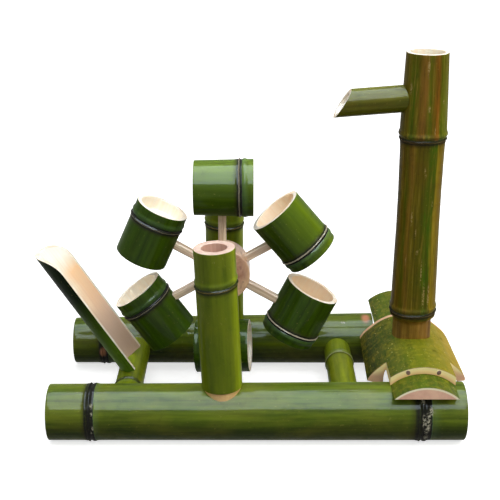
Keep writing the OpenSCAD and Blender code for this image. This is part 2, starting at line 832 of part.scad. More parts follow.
module chute() {
    color("olivedrab") placed() difference() {
        in_chute_plane() difference() {
            intersection() {
                translate([0, -chute_offset, 0]) rotate([0, 90, 0])
                    cylinder(h = tongue_tip + past, r = chute_r);
                linear_extrude(2 * chute_d, center = true) chute_side();
            }
            translate([-past, -chute_offset, 0]) rotate([0, 90, 0])
                cylinder(h = tongue_tip + 3 * past, r = chute_r - chute_wall);
            dowel_pair(fit_gap);
        }
        bar_room(-left_bar_reach, seat_gap, 0);
    }
}

module chute_dowels() {
    color("wheat") placed() in_chute_plane() dowel_pair(0);
}

front_rail();
rear_rail();
left_cross_bar();
right_cross_bar();
front_post();
rear_post();
axle();
wheel_hub();
front_spacer();
rear_spacer();
spoke(1);  // spoke_1
spoke(2);  // spoke_2
spoke(3);  // spoke_3
spoke(4);  // spoke_4
spoke(5);  // spoke_5
spoke(6);  // spoke_6
cup(1);  // cup_1
cup(2);  // cup_2
cup(3);  // cup_3
cup(4);  // cup_4
cup(5);  // cup_5
cup(6);  // cup_6
water_column();
spout();
saddle_shell();
saddle_slat();
saddle_pegs();
slat_pegs();
rear_foot();
riser_tube();
riser_elbow();
inlet_coupling();
chute();
chute_dowels();
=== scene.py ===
"""Looks of the bamboo fountain: culms, wheel, spout and saddle, built around the fixed frame."""

import math

import bpy
import numpy as np
from bpy.props import FloatProperty, FloatVectorProperty, PointerProperty
from bpy.types import Operator, Panel, PropertyGroup
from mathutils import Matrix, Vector


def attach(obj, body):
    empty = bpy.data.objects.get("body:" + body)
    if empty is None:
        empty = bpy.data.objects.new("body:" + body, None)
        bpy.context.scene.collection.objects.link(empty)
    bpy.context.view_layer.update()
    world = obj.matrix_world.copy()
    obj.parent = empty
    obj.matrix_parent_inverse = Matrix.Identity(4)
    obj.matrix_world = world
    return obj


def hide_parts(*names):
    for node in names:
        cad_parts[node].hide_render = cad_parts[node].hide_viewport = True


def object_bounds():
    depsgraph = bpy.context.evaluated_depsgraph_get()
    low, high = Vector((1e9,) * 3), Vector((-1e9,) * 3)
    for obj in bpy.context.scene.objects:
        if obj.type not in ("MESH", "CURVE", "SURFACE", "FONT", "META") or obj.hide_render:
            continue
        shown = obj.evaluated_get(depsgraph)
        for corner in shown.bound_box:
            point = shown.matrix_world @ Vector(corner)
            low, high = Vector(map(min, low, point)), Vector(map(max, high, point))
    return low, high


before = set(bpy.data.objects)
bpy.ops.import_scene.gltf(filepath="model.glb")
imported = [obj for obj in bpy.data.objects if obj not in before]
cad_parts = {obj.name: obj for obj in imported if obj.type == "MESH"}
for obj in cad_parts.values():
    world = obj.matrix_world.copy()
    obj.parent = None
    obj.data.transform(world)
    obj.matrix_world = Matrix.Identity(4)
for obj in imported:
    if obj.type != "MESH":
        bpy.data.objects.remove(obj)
CAD_BOX = [[float(value) for value in corner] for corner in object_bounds()]

bl_info = {
    "name": "Bamboo Fountain",
    "version": (1, 0, 0),
    "blender": (4, 5, 0),
    "location": "View3D > Sidebar > Fountain",
    "description": "Builds the skins, cut ends and woodwork of a bamboo fountain around its frame",
    "category": "Add Mesh",
}

MM = 0.001
# Middle of the whole, in millimetres from the axle and from the front rail's axis
MIDDLE = np.array([33.41633, 109.0, 0.0])
# Columns round a culm, and the distance that stands for no node near
AROUND, FAR = 128, 99.0
# Kinds of surface, in the order of a culm's material slots
SKIN, CUT, BORE, SHAVED = 0, 1, 2, 3

# Sizes in millimetres and degrees: x from the axle, y from the front rail's axis, z from the ground
AXLE_Z, WHEEL_Y, RAIL_SPACING = 175.0, 102.0, 204.0
RAIL_LEFT, RAIL_WALL, PLANED = -206.0, 8.5, 0.6
BAR_R, BAR_Z, BAR_WALL = 17.5, 30.0, 6.0
FOOT_R, FOOT_LENGTH, FOOT_REACH = 34.5535, 56.0, 28.0
DIAPHRAGM = 4.0
POST_TOP, POST_WALL, TENON_R, TENON_DEPTH = 243.0, 9.2, 22.5, 44.0
HUB_R, HUB_W, HUB_ROUND = 34.0, 36.0, 1.6
DISH_R, DISH_DEPTH = 9.0, 0.4
ROD_ROUND, AXLE_R, SPACER_R = 0.6, 5.0, 8.0
SPOKE_R, SPOKE_TENON_R, SPOKE_INTO_HUB, SPOKE_PAST_WALL = 5.0, 4.0, 5.0, 1.5
CUP_WALL = 5.5
CUP_REACH = (107.0, 101.0, 112.0, 104.0, 103.0, 100.0)
CUP_LENGTH = (72.0, 73.0, 70.0, 68.0, 74.0, 70.0)
CUP_MOUTH_D = (66.5, 68.6, 69.0, 67.0, 66.5, 65.0)
CUP_BUTT_D = (69.5, 68.6, 69.0, 67.0, 66.5, 65.0)
CUP_STUB = (16.0, 14.0, 14.0, 15.0, 19.0, 18.0)
CUP_TURN = (0.0, 10.0, 3.5, 3.0, 5.5, 6.0)
CUP_SLIDE = (-2.3, 0.0, 0.0, 0.0, 5.4, 0.0)
CUP_TWIST = (0.0, 0.0, 0.0, 4.5, 0.0, 0.0)
COLUMN_X, COLUMN_TOP = 239.0, 446.0
NODE_LOW, NODE_HIGH, CHAMBER_Z = 124.5, 345.5, 342.0
COLUMN_BORE, TUBE_ROOM, COLUMN_TENON_R, KNIFE_R = 20.5, 15.0, 19.0, 24.0
SPOUT_Z, SPOUT_SLOPE, SPOUT_R, SPOUT_BORE = 393.0, 4.5, 16.25, 12.25
SPOUT_INSIDE, SPOUT_REACH, SPOUT_MOUTH, SPOUT_HOLE_R = 16.5, 97.0, 54.5, 15.2
SLAT_Z, SLAT_CROWN, SLAT_FRONT, SLAT_TAIL, SLAT_ROOM = 68.807, 83.807, -36.0, 254.0, 0.3
SADDLE_Z, SHELL_EDGE_Z = 28.107, 52.607
SHELL_R, SHELL_R_REAR, SHELL_WALL = 65.0, 61.5, 9.0
SHELL_FRONT, SHELL_REAR, SHELL_BAND = -2.0, 165.0, 8.0
TAB_HALF, NOTCH_Y = 39.0, 40.05
BAND_DEPTH, FLANK_SPLAY, LEFT_FLANK, RIGHT_FLANK = 0.9, 2.4, 9.0, 1.0
PEG_R, PEG_LENGTH, PEG_TURN, PEG_SLOPE = 2.5, 22.0, 17.5, 35.0
SLAT_PEG_R, SLAT_PEG_FROM, SLAT_PEG_FRONT_Y = 4.0, 56.1, 8.0
CHUTE_X, CHUTE_LEAN, CHUTE_R, CHUTE_WALL = -119.0, 57.3, 38.5, 5.5
CHUTE_OFFSET, CHUTE_SPLIT, CHUTE_RIM, CHUTE_TONGUE = 33.5, 13.0, 167.0, 34.5
CHUTE_BAR_ROOM, CHUTE_START = 17.8, 16.0


def srgb(red, green, blue):
    """A screen colour, from 0 to 255, as linear light."""
    share = np.array([red, green, blue]) / 255
    return tuple(np.where(share < 0.04045, share / 12.92, ((share + 0.055) / 1.055) ** 2.4))


def length(name, description, default):
    return FloatProperty(name=name, description=description, default=default, unit="LENGTH", precision=5)


def tone(name, description, red, green, blue):
    return FloatVectorProperty(
        name=name, description=description, default=srgb(red, green, blue), subtype="COLOR", size=3, min=0,
        max=1,
    )


class FountainSizes(PropertyGroup):
    """Sizes of the surface forms that a maker would change."""

    node_rise: length("Node rise", "Height of the ring at each node", 0.0015)
    node_waver: length("Node waver", "How far a node's ring strays along its culm", 0.0005)
    end_round: length("End rounding", "Radius of the broken edge at sawn ends", 0.0006)
    out_of_round: FloatProperty(
        name="Out of round", description="Share by which a culm strays from a true circle", default=0.006
    )
    knife_facets: FloatProperty(
        name="Knife facets", description="Number of flats left by the knife on the shaved foot", default=13
    )


class FountainColours(PropertyGroup):
    """Colours of the fresh culms and of the woodwork."""

    rail_dark: tone("Rail shade", "Darker streaks of the rails", 52, 68, 6)
    rail_light: tone("Rail light", "Lighter streaks of the rails", 106, 126, 26)
    cup_dark: tone("Cup shade", "Darker streaks of the cups", 30, 48, 2)
    cup_light: tone("Cup light", "Lighter streaks of the cups", 60, 88, 6)
    post_dark: tone("Post shade", "Darker streaks of the posts", 80, 98, 11)
    post_light: tone("Post light", "Lighter streaks of the posts", 108, 124, 18)
    bar_light: tone("Bar light", "Bright yellow green of the cross bars", 138, 152, 22)
    saddle_light: tone("Saddle light", "Olive of the saddle", 142, 140, 40)
    cut_cream: tone("Cut cream", "Freshly sawn ends", 255, 250, 236)
    bore_pink: tone("Bore pink", "Inside of the culms", 255, 238, 212)
    hub_wood: tone("Hub wood", "Face of the hub", 234, 190, 140)
    spoke_wood: tone("Spoke wood", "Planed spokes", 248, 224, 192)


def colours():
    return bpy.context.scene.fountain_colours


def sizes():
    return bpy.context.scene.fountain_sizes


# Surfaces


def evenly(start, stop, step):
    """Values from start to stop, both kept, no further than step apart."""
    return np.linspace(start, stop, int(math.ceil(abs(stop - start) / step)) + 1)


def bell(value, centre, width):
    """Bell curve: one at the centre, and a third of that one width away."""
    return np.exp(-(((value - centre) / width) ** 2))


def node_swell(along_growth):
    """Height of a node as a share of its rise, by millimetres along the growth: bell curves summed for
    a faint swelling, a sharp sheath scar, a groove and a broad ridge."""
    return (
        0.34 * bell(along_growth, -3.4, 2.3)
        + 0.92 * bell(along_growth, -0.9, 0.8)
        - 0.2 * bell(along_growth, 1.4, 0.9)
        + 0.78 * bell(along_growth, 5.2, 2.8)
    )


def basis(along, side):
    """Three unit vectors at right angles to each other: across towards side, across again, and along."""
    w = np.array(along, float)
    w /= np.linalg.norm(w)
    u = np.array(side, float)
    u -= w * (u @ w)
    u /= np.linalg.norm(u)
    return u, np.cross(w, u), w


def tube_faces(index, wrap_rows=False):
    """Faces between neighbouring rows of a grid of vertex numbers whose columns close on themselves.
    A row that holds one number is a pole, and its faces become triangles."""
    low, high = (index, np.roll(index, -1, 0)) if wrap_rows else (index[:-1], index[1:])
    return np.stack([low, np.roll(low, -1, 1), np.roll(high, -1, 1), high], -1)


def edge_walls(outer, inner, keep, wrap, beyond=False):
    """Faces that join two like grids round the border of the kept cells: each border edge of the outer
    grid with the same edge of the inner one. beyond says whether rows outside the grid count as kept."""
    padded = np.pad(keep, ((1, 1), (0, 0)), constant_values=beyond)
    if wrap:
        padded = np.concatenate([padded[:, -1:], padded, padded[:, :1]], 1)
    else:
        padded = np.pad(padded, ((0, 0), (1, 1)))

    def corners(grid):
        """Vertex numbers at the corners of each cell, by row and column."""
        left = grid if wrap else grid[:, :-1]
        right = np.roll(grid, -1, 1) if wrap else grid[:, 1:]
        return {(0, 0): left[:-1], (0, 1): right[:-1], (1, 0): left[1:], (1, 1): right[1:]}

    outside, inside = corners(outer), corners(inner)
    rows, columns = keep.shape
    walls = []
    for row, column, first, second in (
        (2, 1, (1, 0), (1, 1)),
        (0, 1, (0, 1), (0, 0)),
        (1, 2, (1, 1), (0, 1)),
        (1, 0, (0, 0), (1, 0)),
    ):
        border = keep & ~padded[row : row + rows, column : column + columns]
        ends = outside[first], outside[second], inside[second], inside[first]
        walls.append(np.stack([end[border] for end in ends], -1))
    return np.concatenate(walls)


def make_piece(name, points, faces, kinds, mats, body, nodes, marks):
    """A mesh object in metres from points in millimetres, four-cornered faces and the kind of each.
    Points that no face uses are dropped, points are held inside the frame's box, and a face with a
    doubled corner becomes a triangle."""
    points = points.reshape(-1, 3)
    marks = dict.fromkeys(("near_node", "scar", "crust"), np.zeros(len(points))) | marks
    used, faces = np.unique(faces, return_inverse=True)
    faces = faces.reshape(-1, 4)
    points = np.clip((points[used] - MIDDLE) * MM, CAD_BOX[0], CAD_BOX[1])
    folded = (faces == np.roll(faces, -1, 1)).any(1)
    corners = faces[folded]
    kept = corners != np.roll(corners, -1, 1)
    whole = kept.sum(1) == 3
    loops = faces[~folded].tolist() + corners[whole][kept[whole]].reshape(-1, 3).tolist()
    kinds = np.concatenate([kinds[~folded], kinds[folded][whole]])
    mesh = bpy.data.meshes.new(name)
    mesh.from_pydata(points.tolist(), [], loops)
    mesh.polygons.foreach_set("material_index", kinds.astype(np.int32))
    mesh.polygons.foreach_set("use_smooth", np.ones(len(loops), bool))
    for material in mats:
        mesh.materials.append(material)
    for label, values in marks.items():
        kind, key = ("FLOAT_VECTOR", "vector") if values.ndim == 2 else ("FLOAT", "value")
        values = values[used].astype(np.float32).ravel()
        mesh.attributes.new(label, kind, "POINT").data.foreach_set(key, values)
    mesh.update()
    mesh.set_sharp_from_angle(angle=math.radians(32))
    piece = bpy.data.objects.new(name, mesh)
    bpy.context.scene.collection.objects.link(piece)
    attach(piece, body)
    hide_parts(*nodes)
    return piece


def soften(piece, width):
    """Rounds the sharp edges of a plate."""
    bevel = piece.modifiers.new("soft edges", "BEVEL")
    bevel.width, bevel.segments, bevel.limit_method = width, 2, "ANGLE"
    bevel.angle_limit = math.radians(50)
    bevel.use_clamp_overlap = True
    bevel.harden_normals = True


class Profile:
    """Rows of a culm from one end of its closed outline to the other: for each its distance along,
    its radius, its kind, and 1 where it is grown skin."""

    def __init__(self):
        self.rows = []

    def go(self, distance, radius, kind, step=None):
        """Straight run to a distance and radius, in steps."""
        if step and self.rows:
            at, r, *_ = self.rows[-1]
            count = int(math.ceil(math.hypot(distance - at, radius - r) / step))
            for share in np.linspace(0, 1, count + 1)[1:-1]:
                self.rows.append((at + (distance - at) * share, r + (radius - r) * share, kind, 0))
        self.rows.append((distance, radius, kind, 0))
        return self

    def skin(self, start, stop, girth, rings=(), scars=(), extra=(), fine=0.45, coarse=4.0):
        """Skin from start to stop, its radius read from girth, with close rows across nodes and scars."""
        stations = [evenly(start, stop, coarse), np.array(extra, float)]
        stations += [np.arange(at - 11, at + 12, fine) for at in rings]
        stations += [np.arange(at - 2.5 * long, at + 2.5 * long, long / 5) for at, _, long, *_ in scars]
        joined = np.unique(np.round(np.concatenate(stations), 3))
        joined = joined[(joined >= start) & (joined <= stop)]
        self.rows += [(s, r, SKIN, 1) for s, r in zip(joined, np.interp(joined, girth[0], girth[1]))]
        return self

    def rounded(self, at, radius, round_r, outwards):
        """Broken edge between a sawn face and the skin: a quarter circle whose outer part is skin.
        outwards is 1 where the outline comes from the skin, and -1 where it comes from the face."""
        for turn in np.linspace(0, math.pi / 2, 5):
            side, up = round_r * math.sin(turn), round_r * math.cos(turn)
            if outwards > 0:
                self.go(at - round_r + side, radius - round_r + up, SKIN if turn < 1.2 else CUT)
            else:
                self.go(at + round_r - up, radius - round_r + side, CUT if turn < 0.5 else SKIN)
        return self


def from_nodes(distance, rings, wide, up, waver):
    """Distance from the nearest node along the growth, and the same divided by the width of its paint."""
    nearest = painted = np.full(distance.shape, FAR)
    for at, width in zip(rings, wide or (1.0,) * len(rings)):
        ahead = up * (distance - at) + waver
        closer = np.abs(ahead) < np.abs(nearest)
        painted = np.where(closer, ahead / width, painted)
        nearest = np.where(closer, ahead, nearest)
    return nearest, painted


def raise_spots(distance, radius, turn, on_skin, spots):
    """Raises scars and crusts: a spot's share is exp(-((along / long)^2 + (across / wide)^2)^2), and the
    radius grows by that share of its height. Gives the radius, and the share of each kind of spot."""
    shares = {"scar": np.zeros(distance.shape), "crust": np.zeros(distance.shape)}
    for label, at, angle, long, wide, height in spots:
        across = (np.mod(turn - math.radians(angle) + math.pi, 2 * math.pi) - math.pi)[None] * radius
        share = on_skin * np.exp(-(((distance - at) / long) ** 2 + (across / wide) ** 2) ** 2)
        radius = radius + share * height
        shares[label] = np.maximum(shares[label], share)
    return radius, shares


def culm_piece(
    name, nodes, mats, foot, along, side, profile, rings=(), up=1, seed=1, body="frame",
    scars=(), crusts=(), wide=(), tilt=0.0, wrap_rows=False, level=False, bend=None, hole=None, around=AROUND,
):
    """A culm: each row of its profile is carried round its axis, and point = foot + distance * along
    + radius * (cos turn * u + sin turn * v). The radius strays a little with the turn and rises at
    nodes, scars and crusts. up is the way of growth, tilt leans the nodes, level planes the underside,
    bend moves rows, and hole leaves out the cells of the wall that its test finds."""
    rng = np.random.default_rng(seed)
    phase = rng.uniform(0, 2 * math.pi, 6)
    s, r, kind, is_skin = np.array(profile.rows).T
    on_skin = is_skin[:, None]
    turn = np.arange(around) * 2 * math.pi / around
    distance = np.repeat(s[:, None], around, 1)
    stray = sizes().out_of_round * (
        np.cos(2 * turn + phase[0])[None] * (1 + 0.4 * np.sin(distance / 60 + phase[1]))
        + 0.5 * np.cos(3 * turn + phase[2] + distance / 150)
    )
    waver = np.sin(turn + phase[3]) + 0.5 * np.sin(2 * turn + phase[4]) + 0.22 * np.sin(5 * turn + phase[5])
    waver = waver[None] * sizes().node_waver / MM - tilt * np.cos(turn)[None]
    nearest, painted = from_nodes(distance, rings, wide, up, waver)
    radius = r[:, None] * (1 + stray) + on_skin * sizes().node_rise / MM * node_swell(nearest)
    spots = [("scar", *scar) for scar in scars] + [("crust", *crust) for crust in crusts]
    radius, shares = raise_spots(distance, radius, turn, on_skin, spots)
    if bend is not None:
        distance, radius = bend(distance, radius, turn[None])
    u, v, w = basis(along, side)
    across, again = radius * np.cos(turn), radius * np.sin(turn)
    points = np.array(foot, float) + distance[..., None] * w + across[..., None] * u + again[..., None] * v
    if level:
        points[..., 2] = np.maximum(points[..., 2], 0.0)
    index = np.arange(distance.size).reshape(distance.shape)
    if not wrap_rows:
        for row in (0, -1):
            if r[row] == 0:
                index[row] = index[row, 0]
    quads = tube_faces(index, wrap_rows)
    kinds = np.repeat((np.roll(kind, -1) if wrap_rows else kind[1:])[:, None], around, 1)
    faces, flat_kinds = quads.reshape(-1, 4), kinds.reshape(-1)
    if hole is not None:
        skin_rows, bore_rows = hole["rows"]
        keep = ~hole["test"](points[skin_rows])
        kept = np.ones(kinds.shape, bool)
        kept[skin_rows[:-1]] = keep
        kept[bore_rows[1:]] = keep
        walls = edge_walls(index[skin_rows], index[bore_rows], keep, True, True)
        faces = np.concatenate([quads[kept], walls])
        flat_kinds = np.concatenate([kinds[kept], np.full(len(walls), CUT)])
    skin_r = np.interp(s, s[is_skin > 0], r[is_skin > 0]) if is_skin.any() else r
    turned = np.stack([across, again, distance], -1).reshape(-1, 3) * MM
    marks = {
        "grain": turned + seed * 0.37,
        "turned": turned,
        "from_node": painted.reshape(-1),
        "near_node": np.clip(2 - np.abs(nearest) / 15, 0, 1).reshape(-1),
        "scar": shares["scar"].reshape(-1),
        "crust": shares["crust"].reshape(-1),
        "under_skin": np.repeat(skin_r - r, around),
    }
    return make_piece(name, points, faces, flat_kinds, mats, body, nodes, marks)


def plate_piece(name, nodes, mats, outer, inner, keep, shaved, grain, wall, extra=None):
    """A curved plate: an outer and an inner grid of like shape, closed round the border of the kept
    cells. Shaved cells have lost their skin."""
    count = outer.shape[0] * outer.shape[1]
    top = np.arange(count).reshape(outer.shape[:2])
    above, under = [
        np.stack([g[:-1, :-1], g[:-1, 1:], g[1:, 1:], g[1:, :-1]], -1)[keep] for g in (top, top + count)
    ]
    walls = edge_walls(top, top + count, keep, False)
    faces = np.concatenate([above, under[:, ::-1], walls])
    kinds = np.repeat([SKIN, BORE, CUT], [len(above), len(under), len(walls)])
    kinds[: len(above)][shaved[keep]] = SHAVED
    points = np.concatenate([outer.reshape(-1, 3), inner.reshape(-1, 3)])
    marks = {"grain": grain(points) * MM, "under_skin": np.repeat([0.0, wall], count)}
    marks.update({label: value(points) for label, value in (extra or {}).items()})
    return make_piece(name, points, faces, kinds, mats, "frame", nodes, marks)


# Materials


class Net:
    """Short ways to add and join the shader nodes of one material, or of the surroundings."""

    def __init__(self, name, owner=None):
        self.owner = owner or bpy.data.materials.new(name)
        self.owner.use_nodes = True
        self.tree = self.owner.node_tree
        self.tree.nodes.clear()

    def add(self, kind, **settings):
        """A new node; keywords are its own settings."""
        node = self.tree.nodes.new(kind)
        for key, value in settings.items():
            setattr(node, key, value)
        return node

    def put(self, socket, value):
        """A number or colour is set on the socket, and a socket is joined to it."""
        if isinstance(value, bpy.types.NodeSocket):
            self.tree.links.new(value, socket)
        elif hasattr(value, "__len__"):
            value = tuple(value)
            socket.default_value = value + (1.0,) if socket.type == "RGBA" and len(value) == 3 else value
        else:
            socket.default_value = value

    def own(self, label, vector=False):
        """The piece's own attribute."""
        node = self.add("ShaderNodeAttribute", attribute_name=label)
        return node.outputs["Vector" if vector else "Fac"]

    def object_place(self):
        return self.add("ShaderNodeTexCoord").outputs["Object"]

    def stretched(self, vector, across, again, along):
        """The vector times three factors: a small one draws a pattern out that way."""
        node = self.add("ShaderNodeVectorMath", operation="MULTIPLY")
        self.put(node.inputs[0], vector)
        self.put(node.inputs[1], (across, again, along))
        return node.outputs[0]

    def noise(self, vector, scale, detail=3.0, roughness=0.55, distortion=0.0):
        """Soft noise from 0 to 1; scale is how often it turns in a metre."""
        node = self.add("ShaderNodeTexNoise")
        self.put(node.inputs["Vector"], vector)
        for key, value in (
            ("Scale", scale), ("Detail", detail), ("Roughness", roughness), ("Distortion", distortion)
        ):
            self.put(node.inputs[key], value)
        return node.outputs["Fac"]

    def cells(self, vector, scale):
        """Distance from the nearest of many scattered dots."""
        node = self.add("ShaderNodeTexVoronoi")
        self.put(node.inputs["Vector"], vector)
        self.put(node.inputs["Scale"], scale)
        return node.outputs["Distance"]

    def sum(self, operation, first, second=0.0, clamp=False):
        """One step of arithmetic; clamp holds it between 0 and 1."""
        node = self.add("ShaderNodeMath", operation=operation, use_clamp=clamp)
        self.put(node.inputs[0], first)
        self.put(node.inputs[1], second)
        return node.outputs[0]

    def spread(self, value, low, high, to_low=0.0, to_high=1.0):
        """The value's place between low and high, held at both ends."""
        node = self.add("ShaderNodeMapRange")
        for socket, number in zip(node.inputs, (value, low, high, to_low, to_high)):
            self.put(socket, number)
        return node.outputs[0]

    def ramp(self, value, stops):
        """Colour and strength along a value from 0 to 1. A stop is (place, colour) or, with a strength,
        (place, colour, strength)."""
        node = self.add("ShaderNodeValToRGB")
        self.put(node.inputs[0], value)
        marks = node.color_ramp.elements
        marks.remove(marks[-1])
        marks[0].position = stops[0][0]
        for place, *_ in stops[1:]:
            marks.new(place)
        for mark, (_, *stop) in zip(marks, stops):
            mark.color = (*stop[0], stop[1] if len(stop) > 1 else 1.0)
        return node.outputs["Color"], node.outputs["Alpha"]

    def parts(self, vector):
        """The three numbers of a vector."""
        node = self.add("ShaderNodeSeparateXYZ")
        self.put(node.inputs[0], vector)
        return node.outputs

    def mix(self, share, first, second):
        """Two colours mixed; share is that of the second."""
        node = self.add("ShaderNodeMix", data_type="RGBA")
        self.put(node.inputs[0], share)
        self.put(node.inputs[6], first)
        self.put(node.inputs[7], second)
        return node.outputs[2]

    def both(self, kind, first, second, share=None):
        """Two shaders added up, or mixed by a share."""
        node = self.add(kind)
        sockets = list(node.inputs)
        if share is not None:
            self.put(sockets.pop(0), share)
        self.put(sockets[0], first)
        self.put(sockets[1], second)
        return node.outputs[0]

    def bump(self, height, millimetres, under=None):
        """Relief of a height from 0 to 1 and a depth in millimetres, laid over the one under it."""
        node = self.add("ShaderNodeBump")
        self.put(node.inputs["Height"], height)
        self.put(node.inputs["Strength"], 1.0)
        self.put(node.inputs["Distance"], millimetres * MM)
        if under is not None:
            self.put(node.inputs["Normal"], under)
        return node.outputs[0]

    def shown(self):
        """One where the ray shows the surroundings: from the camera, mirrored or let through."""
        path = self.add("ShaderNodeLightPath").outputs
        seen = self.sum("MAXIMUM", path["Is Camera Ray"], path["Is Glossy Ray"])
        return self.sum("MAXIMUM", seen, path["Is Transmission Ray"])

    def close(self, shader, kind="ShaderNodeOutputMaterial"):
        """Joins the shader to the output, and gives what the nodes belong to."""
        self.put(self.add(kind).inputs["Surface"], shader)
        return self.owner

    def surface(self, **sockets):
        """Closes the material with one Principled shader; keywords name its sockets with underscores."""
        node = self.add("ShaderNodeBsdfPrincipled")
        for key, value in sockets.items():
            self.put(node.inputs[key.replace("_", " ")], value)
        return self.close(node.outputs[0])


def darker(colour, share):
    return tuple(value * share for value in colour)


def node_paint(strength=1.0, bloom=0.6, band=2.0, scar=srgb(160, 148, 122)):
    """Colours across a node, by distance in millimetres along the growth: brown fade, black groove, pale
    scar, black band and pale bloom."""
    brown, waxy, black = srgb(46, 36, 14), srgb(120, 158, 128), (0.01, 0.009, 0.006)
    return [
        (-9.0, brown, 0.0), (-5.5, brown, 0.5 * strength), (-4.0, black, 0.9 * strength),
        (-2.4, black, strength), (-2.1, scar, 0.9), (-1.1, scar, 0.9), (-0.8, black, strength),
        (band, black, strength), (band + 0.8, waxy, bloom * 0.6), (band + 2.4, waxy, bloom),
        (band + 4.6, waxy, bloom * 0.6), (band + 8.0, waxy, 0.0),
    ]


def fresh_skin(
    name, dark, light, warm, paint, streak=0.06, patch=0.35, wet=0.08, gloss=0.4, speck=0.12, seed=0.0,
    by_turn=None, higher=None, mottle=0.0, crust=srgb(200, 196, 172), smudge=0.3, strands=0.0, foot=None,
):
    """Skin of a fresh culm: long streaks, soft patches, pale specks, painted nodes, fine fibres and a wet
    gloss. by_turn colours it round its axis: painted light and shade on the rails, posts, two cups and
    saddle, and stripes with painted shade on the column. higher gives a height in millimetres and the colours
    above it, strands is the share of thin dark and golden threads, and foot the colour at the chute's foot."""
    net = Net(name)
    place = net.own("grain", True)
    streaks = net.noise(net.stretched(place, 1, 1, streak), 150, 5, 0.6)
    threads = net.noise(net.stretched(place, 1, 1, 0.012), 950, 3, 0.6)
    patches = net.noise(net.stretched(place, 1, 1, 0.5), 22 + seed, 3, 0.6, 0.4)
    body = net.mix(net.spread(streaks, 0.3, 0.7), dark, light)
    if by_turn:
        x, y, z = net.parts(net.own("turned", True))
        wander = net.sum("SUBTRACT", net.noise(net.stretched(place, 1, 1, 0.06), 110, 4, 0.7), 0.5)
        turn = net.spread(net.sum("ARCTAN2", y, x), -math.pi, math.pi)
        turn = net.sum("ADD", turn, net.sum("MULTIPLY", wander, 0.12))
        coloured, share = net.ramp(turn, by_turn)
        if higher:
            above = net.spread(z, (higher[0] - 1) * MM, (higher[0] + 1) * MM)
            coloured = net.mix(above, coloured, net.ramp(turn, higher[1])[0])
        body = net.mix(share, body, coloured)
    if foot:
        body = net.mix(net.spread(net.own("up_chute"), 0.65, 0.0), body, foot)
    if strands:
        thin = net.noise(net.stretched(place, 1, 1, 0.035), 330, 4, 0.7, 0.5)
        body = net.mix(net.spread(thin, 0.5, 0.62, 0.0, strands), body, darker(dark, 0.7))
        body = net.mix(net.spread(thin, 0.45, 0.34, 0.0, strands), body, srgb(168, 142, 54))
    body = net.mix(net.sum("MULTIPLY", net.spread(patches, 0.42, 0.7), patch), body, warm)
    body = net.mix(net.sum("MULTIPLY", net.spread(threads, 0.45, 0.75), 0.22), body, light)
    if mottle:
        mottles = net.noise(place, 130, 4, 0.7, 0.4)
        body = net.mix(net.spread(mottles, 0.48, 0.66, 0.0, mottle), body, srgb(196, 172, 44))
    specks = net.noise(net.stretched(place, 1, 1, 0.6), 420, 2, 0.5)
    body = net.mix(net.sum("MULTIPLY", net.spread(specks, 0.68, 0.75), speck), body, srgb(224, 206, 112))
    smudges = net.noise(place, 90, 4, 0.65)
    body = net.mix(net.spread(smudges, 0.55, 0.8, 0.0, smudge), body, darker(dark, 0.35))
    ragged = net.sum("MULTIPLY", net.sum("SUBTRACT", net.noise(place, 260, 3, 0.6), 0.5), 1.4)
    ahead = net.sum("ADD", net.own("from_node"), ragged)
    before, after = 12, 18
    stops = [((distance + before) / (before + after), *stop) for distance, *stop in paint]
    painted, share = net.ramp(net.spread(ahead, -before, after), stops)
    share = net.sum("MULTIPLY", share, net.own("near_node"))
    broken = net.spread(net.noise(place, 320, 3, 0.6), 0.28, 0.5, 0.85, 1.0)
    body = net.mix(net.sum("MULTIPLY", share, broken), body, painted)
    body = net.mix(net.own("scar"), body, srgb(196, 134, 98))
    crumbs = net.spread(net.noise(place, 460, 4, 0.65), 0.45, 0.54)
    body = net.mix(net.sum("MULTIPLY", net.own("crust"), crumbs), body, crust)
    rough = net.spread(smudges, 0.35, 0.75, gloss, gloss + 0.25)
    rough = net.sum("ADD", rough, net.sum("MULTIPLY", share, 0.3), clamp=True)
    relief = net.bump(threads, 0.06)
    relief = net.bump(net.noise(net.stretched(place, 1, 1, 0.2), 120, 3, 0.5), 0.25, relief)
    film = net.bump(net.noise(net.stretched(place, 1, 1, 0.12), 45, 2, 0.5), 0.5)
    return net.surface(
        Base_Color=body, Roughness=rough, Normal=relief, Coat_Weight=wet, Coat_Roughness=0.06, Coat_IOR=1.45,
        Coat_Normal=film, Specular_IOR_Level=0.02,
    )


def cut_end(name, cream, pink, line=0.7, layers=None, low=None):
    """Sawn bamboo: cream, dotted with fibre bundles that crowd towards the skin, with a thin green line
    at the skin. layers gives colours by depth under the skin in millimetres, and low the height and
    colour of a split's lower part."""
    net = Net(name)
    place = net.own("grain", True)
    under = net.own("under_skin")
    dots = net.cells(net.stretched(place, 1, 1, 0.15), 950)
    body = net.mix(net.spread(net.noise(place, 60, 3, 0.6), 0.35, 0.7), cream, pink)
    if layers:
        deepest = 12
        stops = [(depth / deepest, *stop) for depth, *stop in layers]
        coloured, share = net.ramp(net.spread(under, 0, deepest), stops)
        body = net.mix(share, body, coloured)
    if low:
        height = net.parts(net.own("turned", True))[1]
        body = net.mix(net.spread(height, low[0] + 4, low[0] - 4), body, low[1])
    crowd = net.spread(under, 0.0, 6.0, 0.2 if layers else 0.6, 0.15)
    dot = net.sum("MULTIPLY", net.spread(dots, 0.16, 0.34, 1.0, 0.0), crowd)
    body = net.mix(dot, body, srgb(206, 164, 108))
    body = net.mix(net.spread(under, 0.1, 0.6, line, 0.0), body, srgb(150, 140, 60))
    saw = net.noise(net.stretched(place, 1, 0.1, 1), 700, 3, 0.6)
    return net.surface(
        Base_Color=body, Roughness=net.spread(saw, 0.3, 0.7, 0.5, 0.75), Normal=net.bump(saw, 0.12),
        Specular_IOR_Level=0.3,
    )


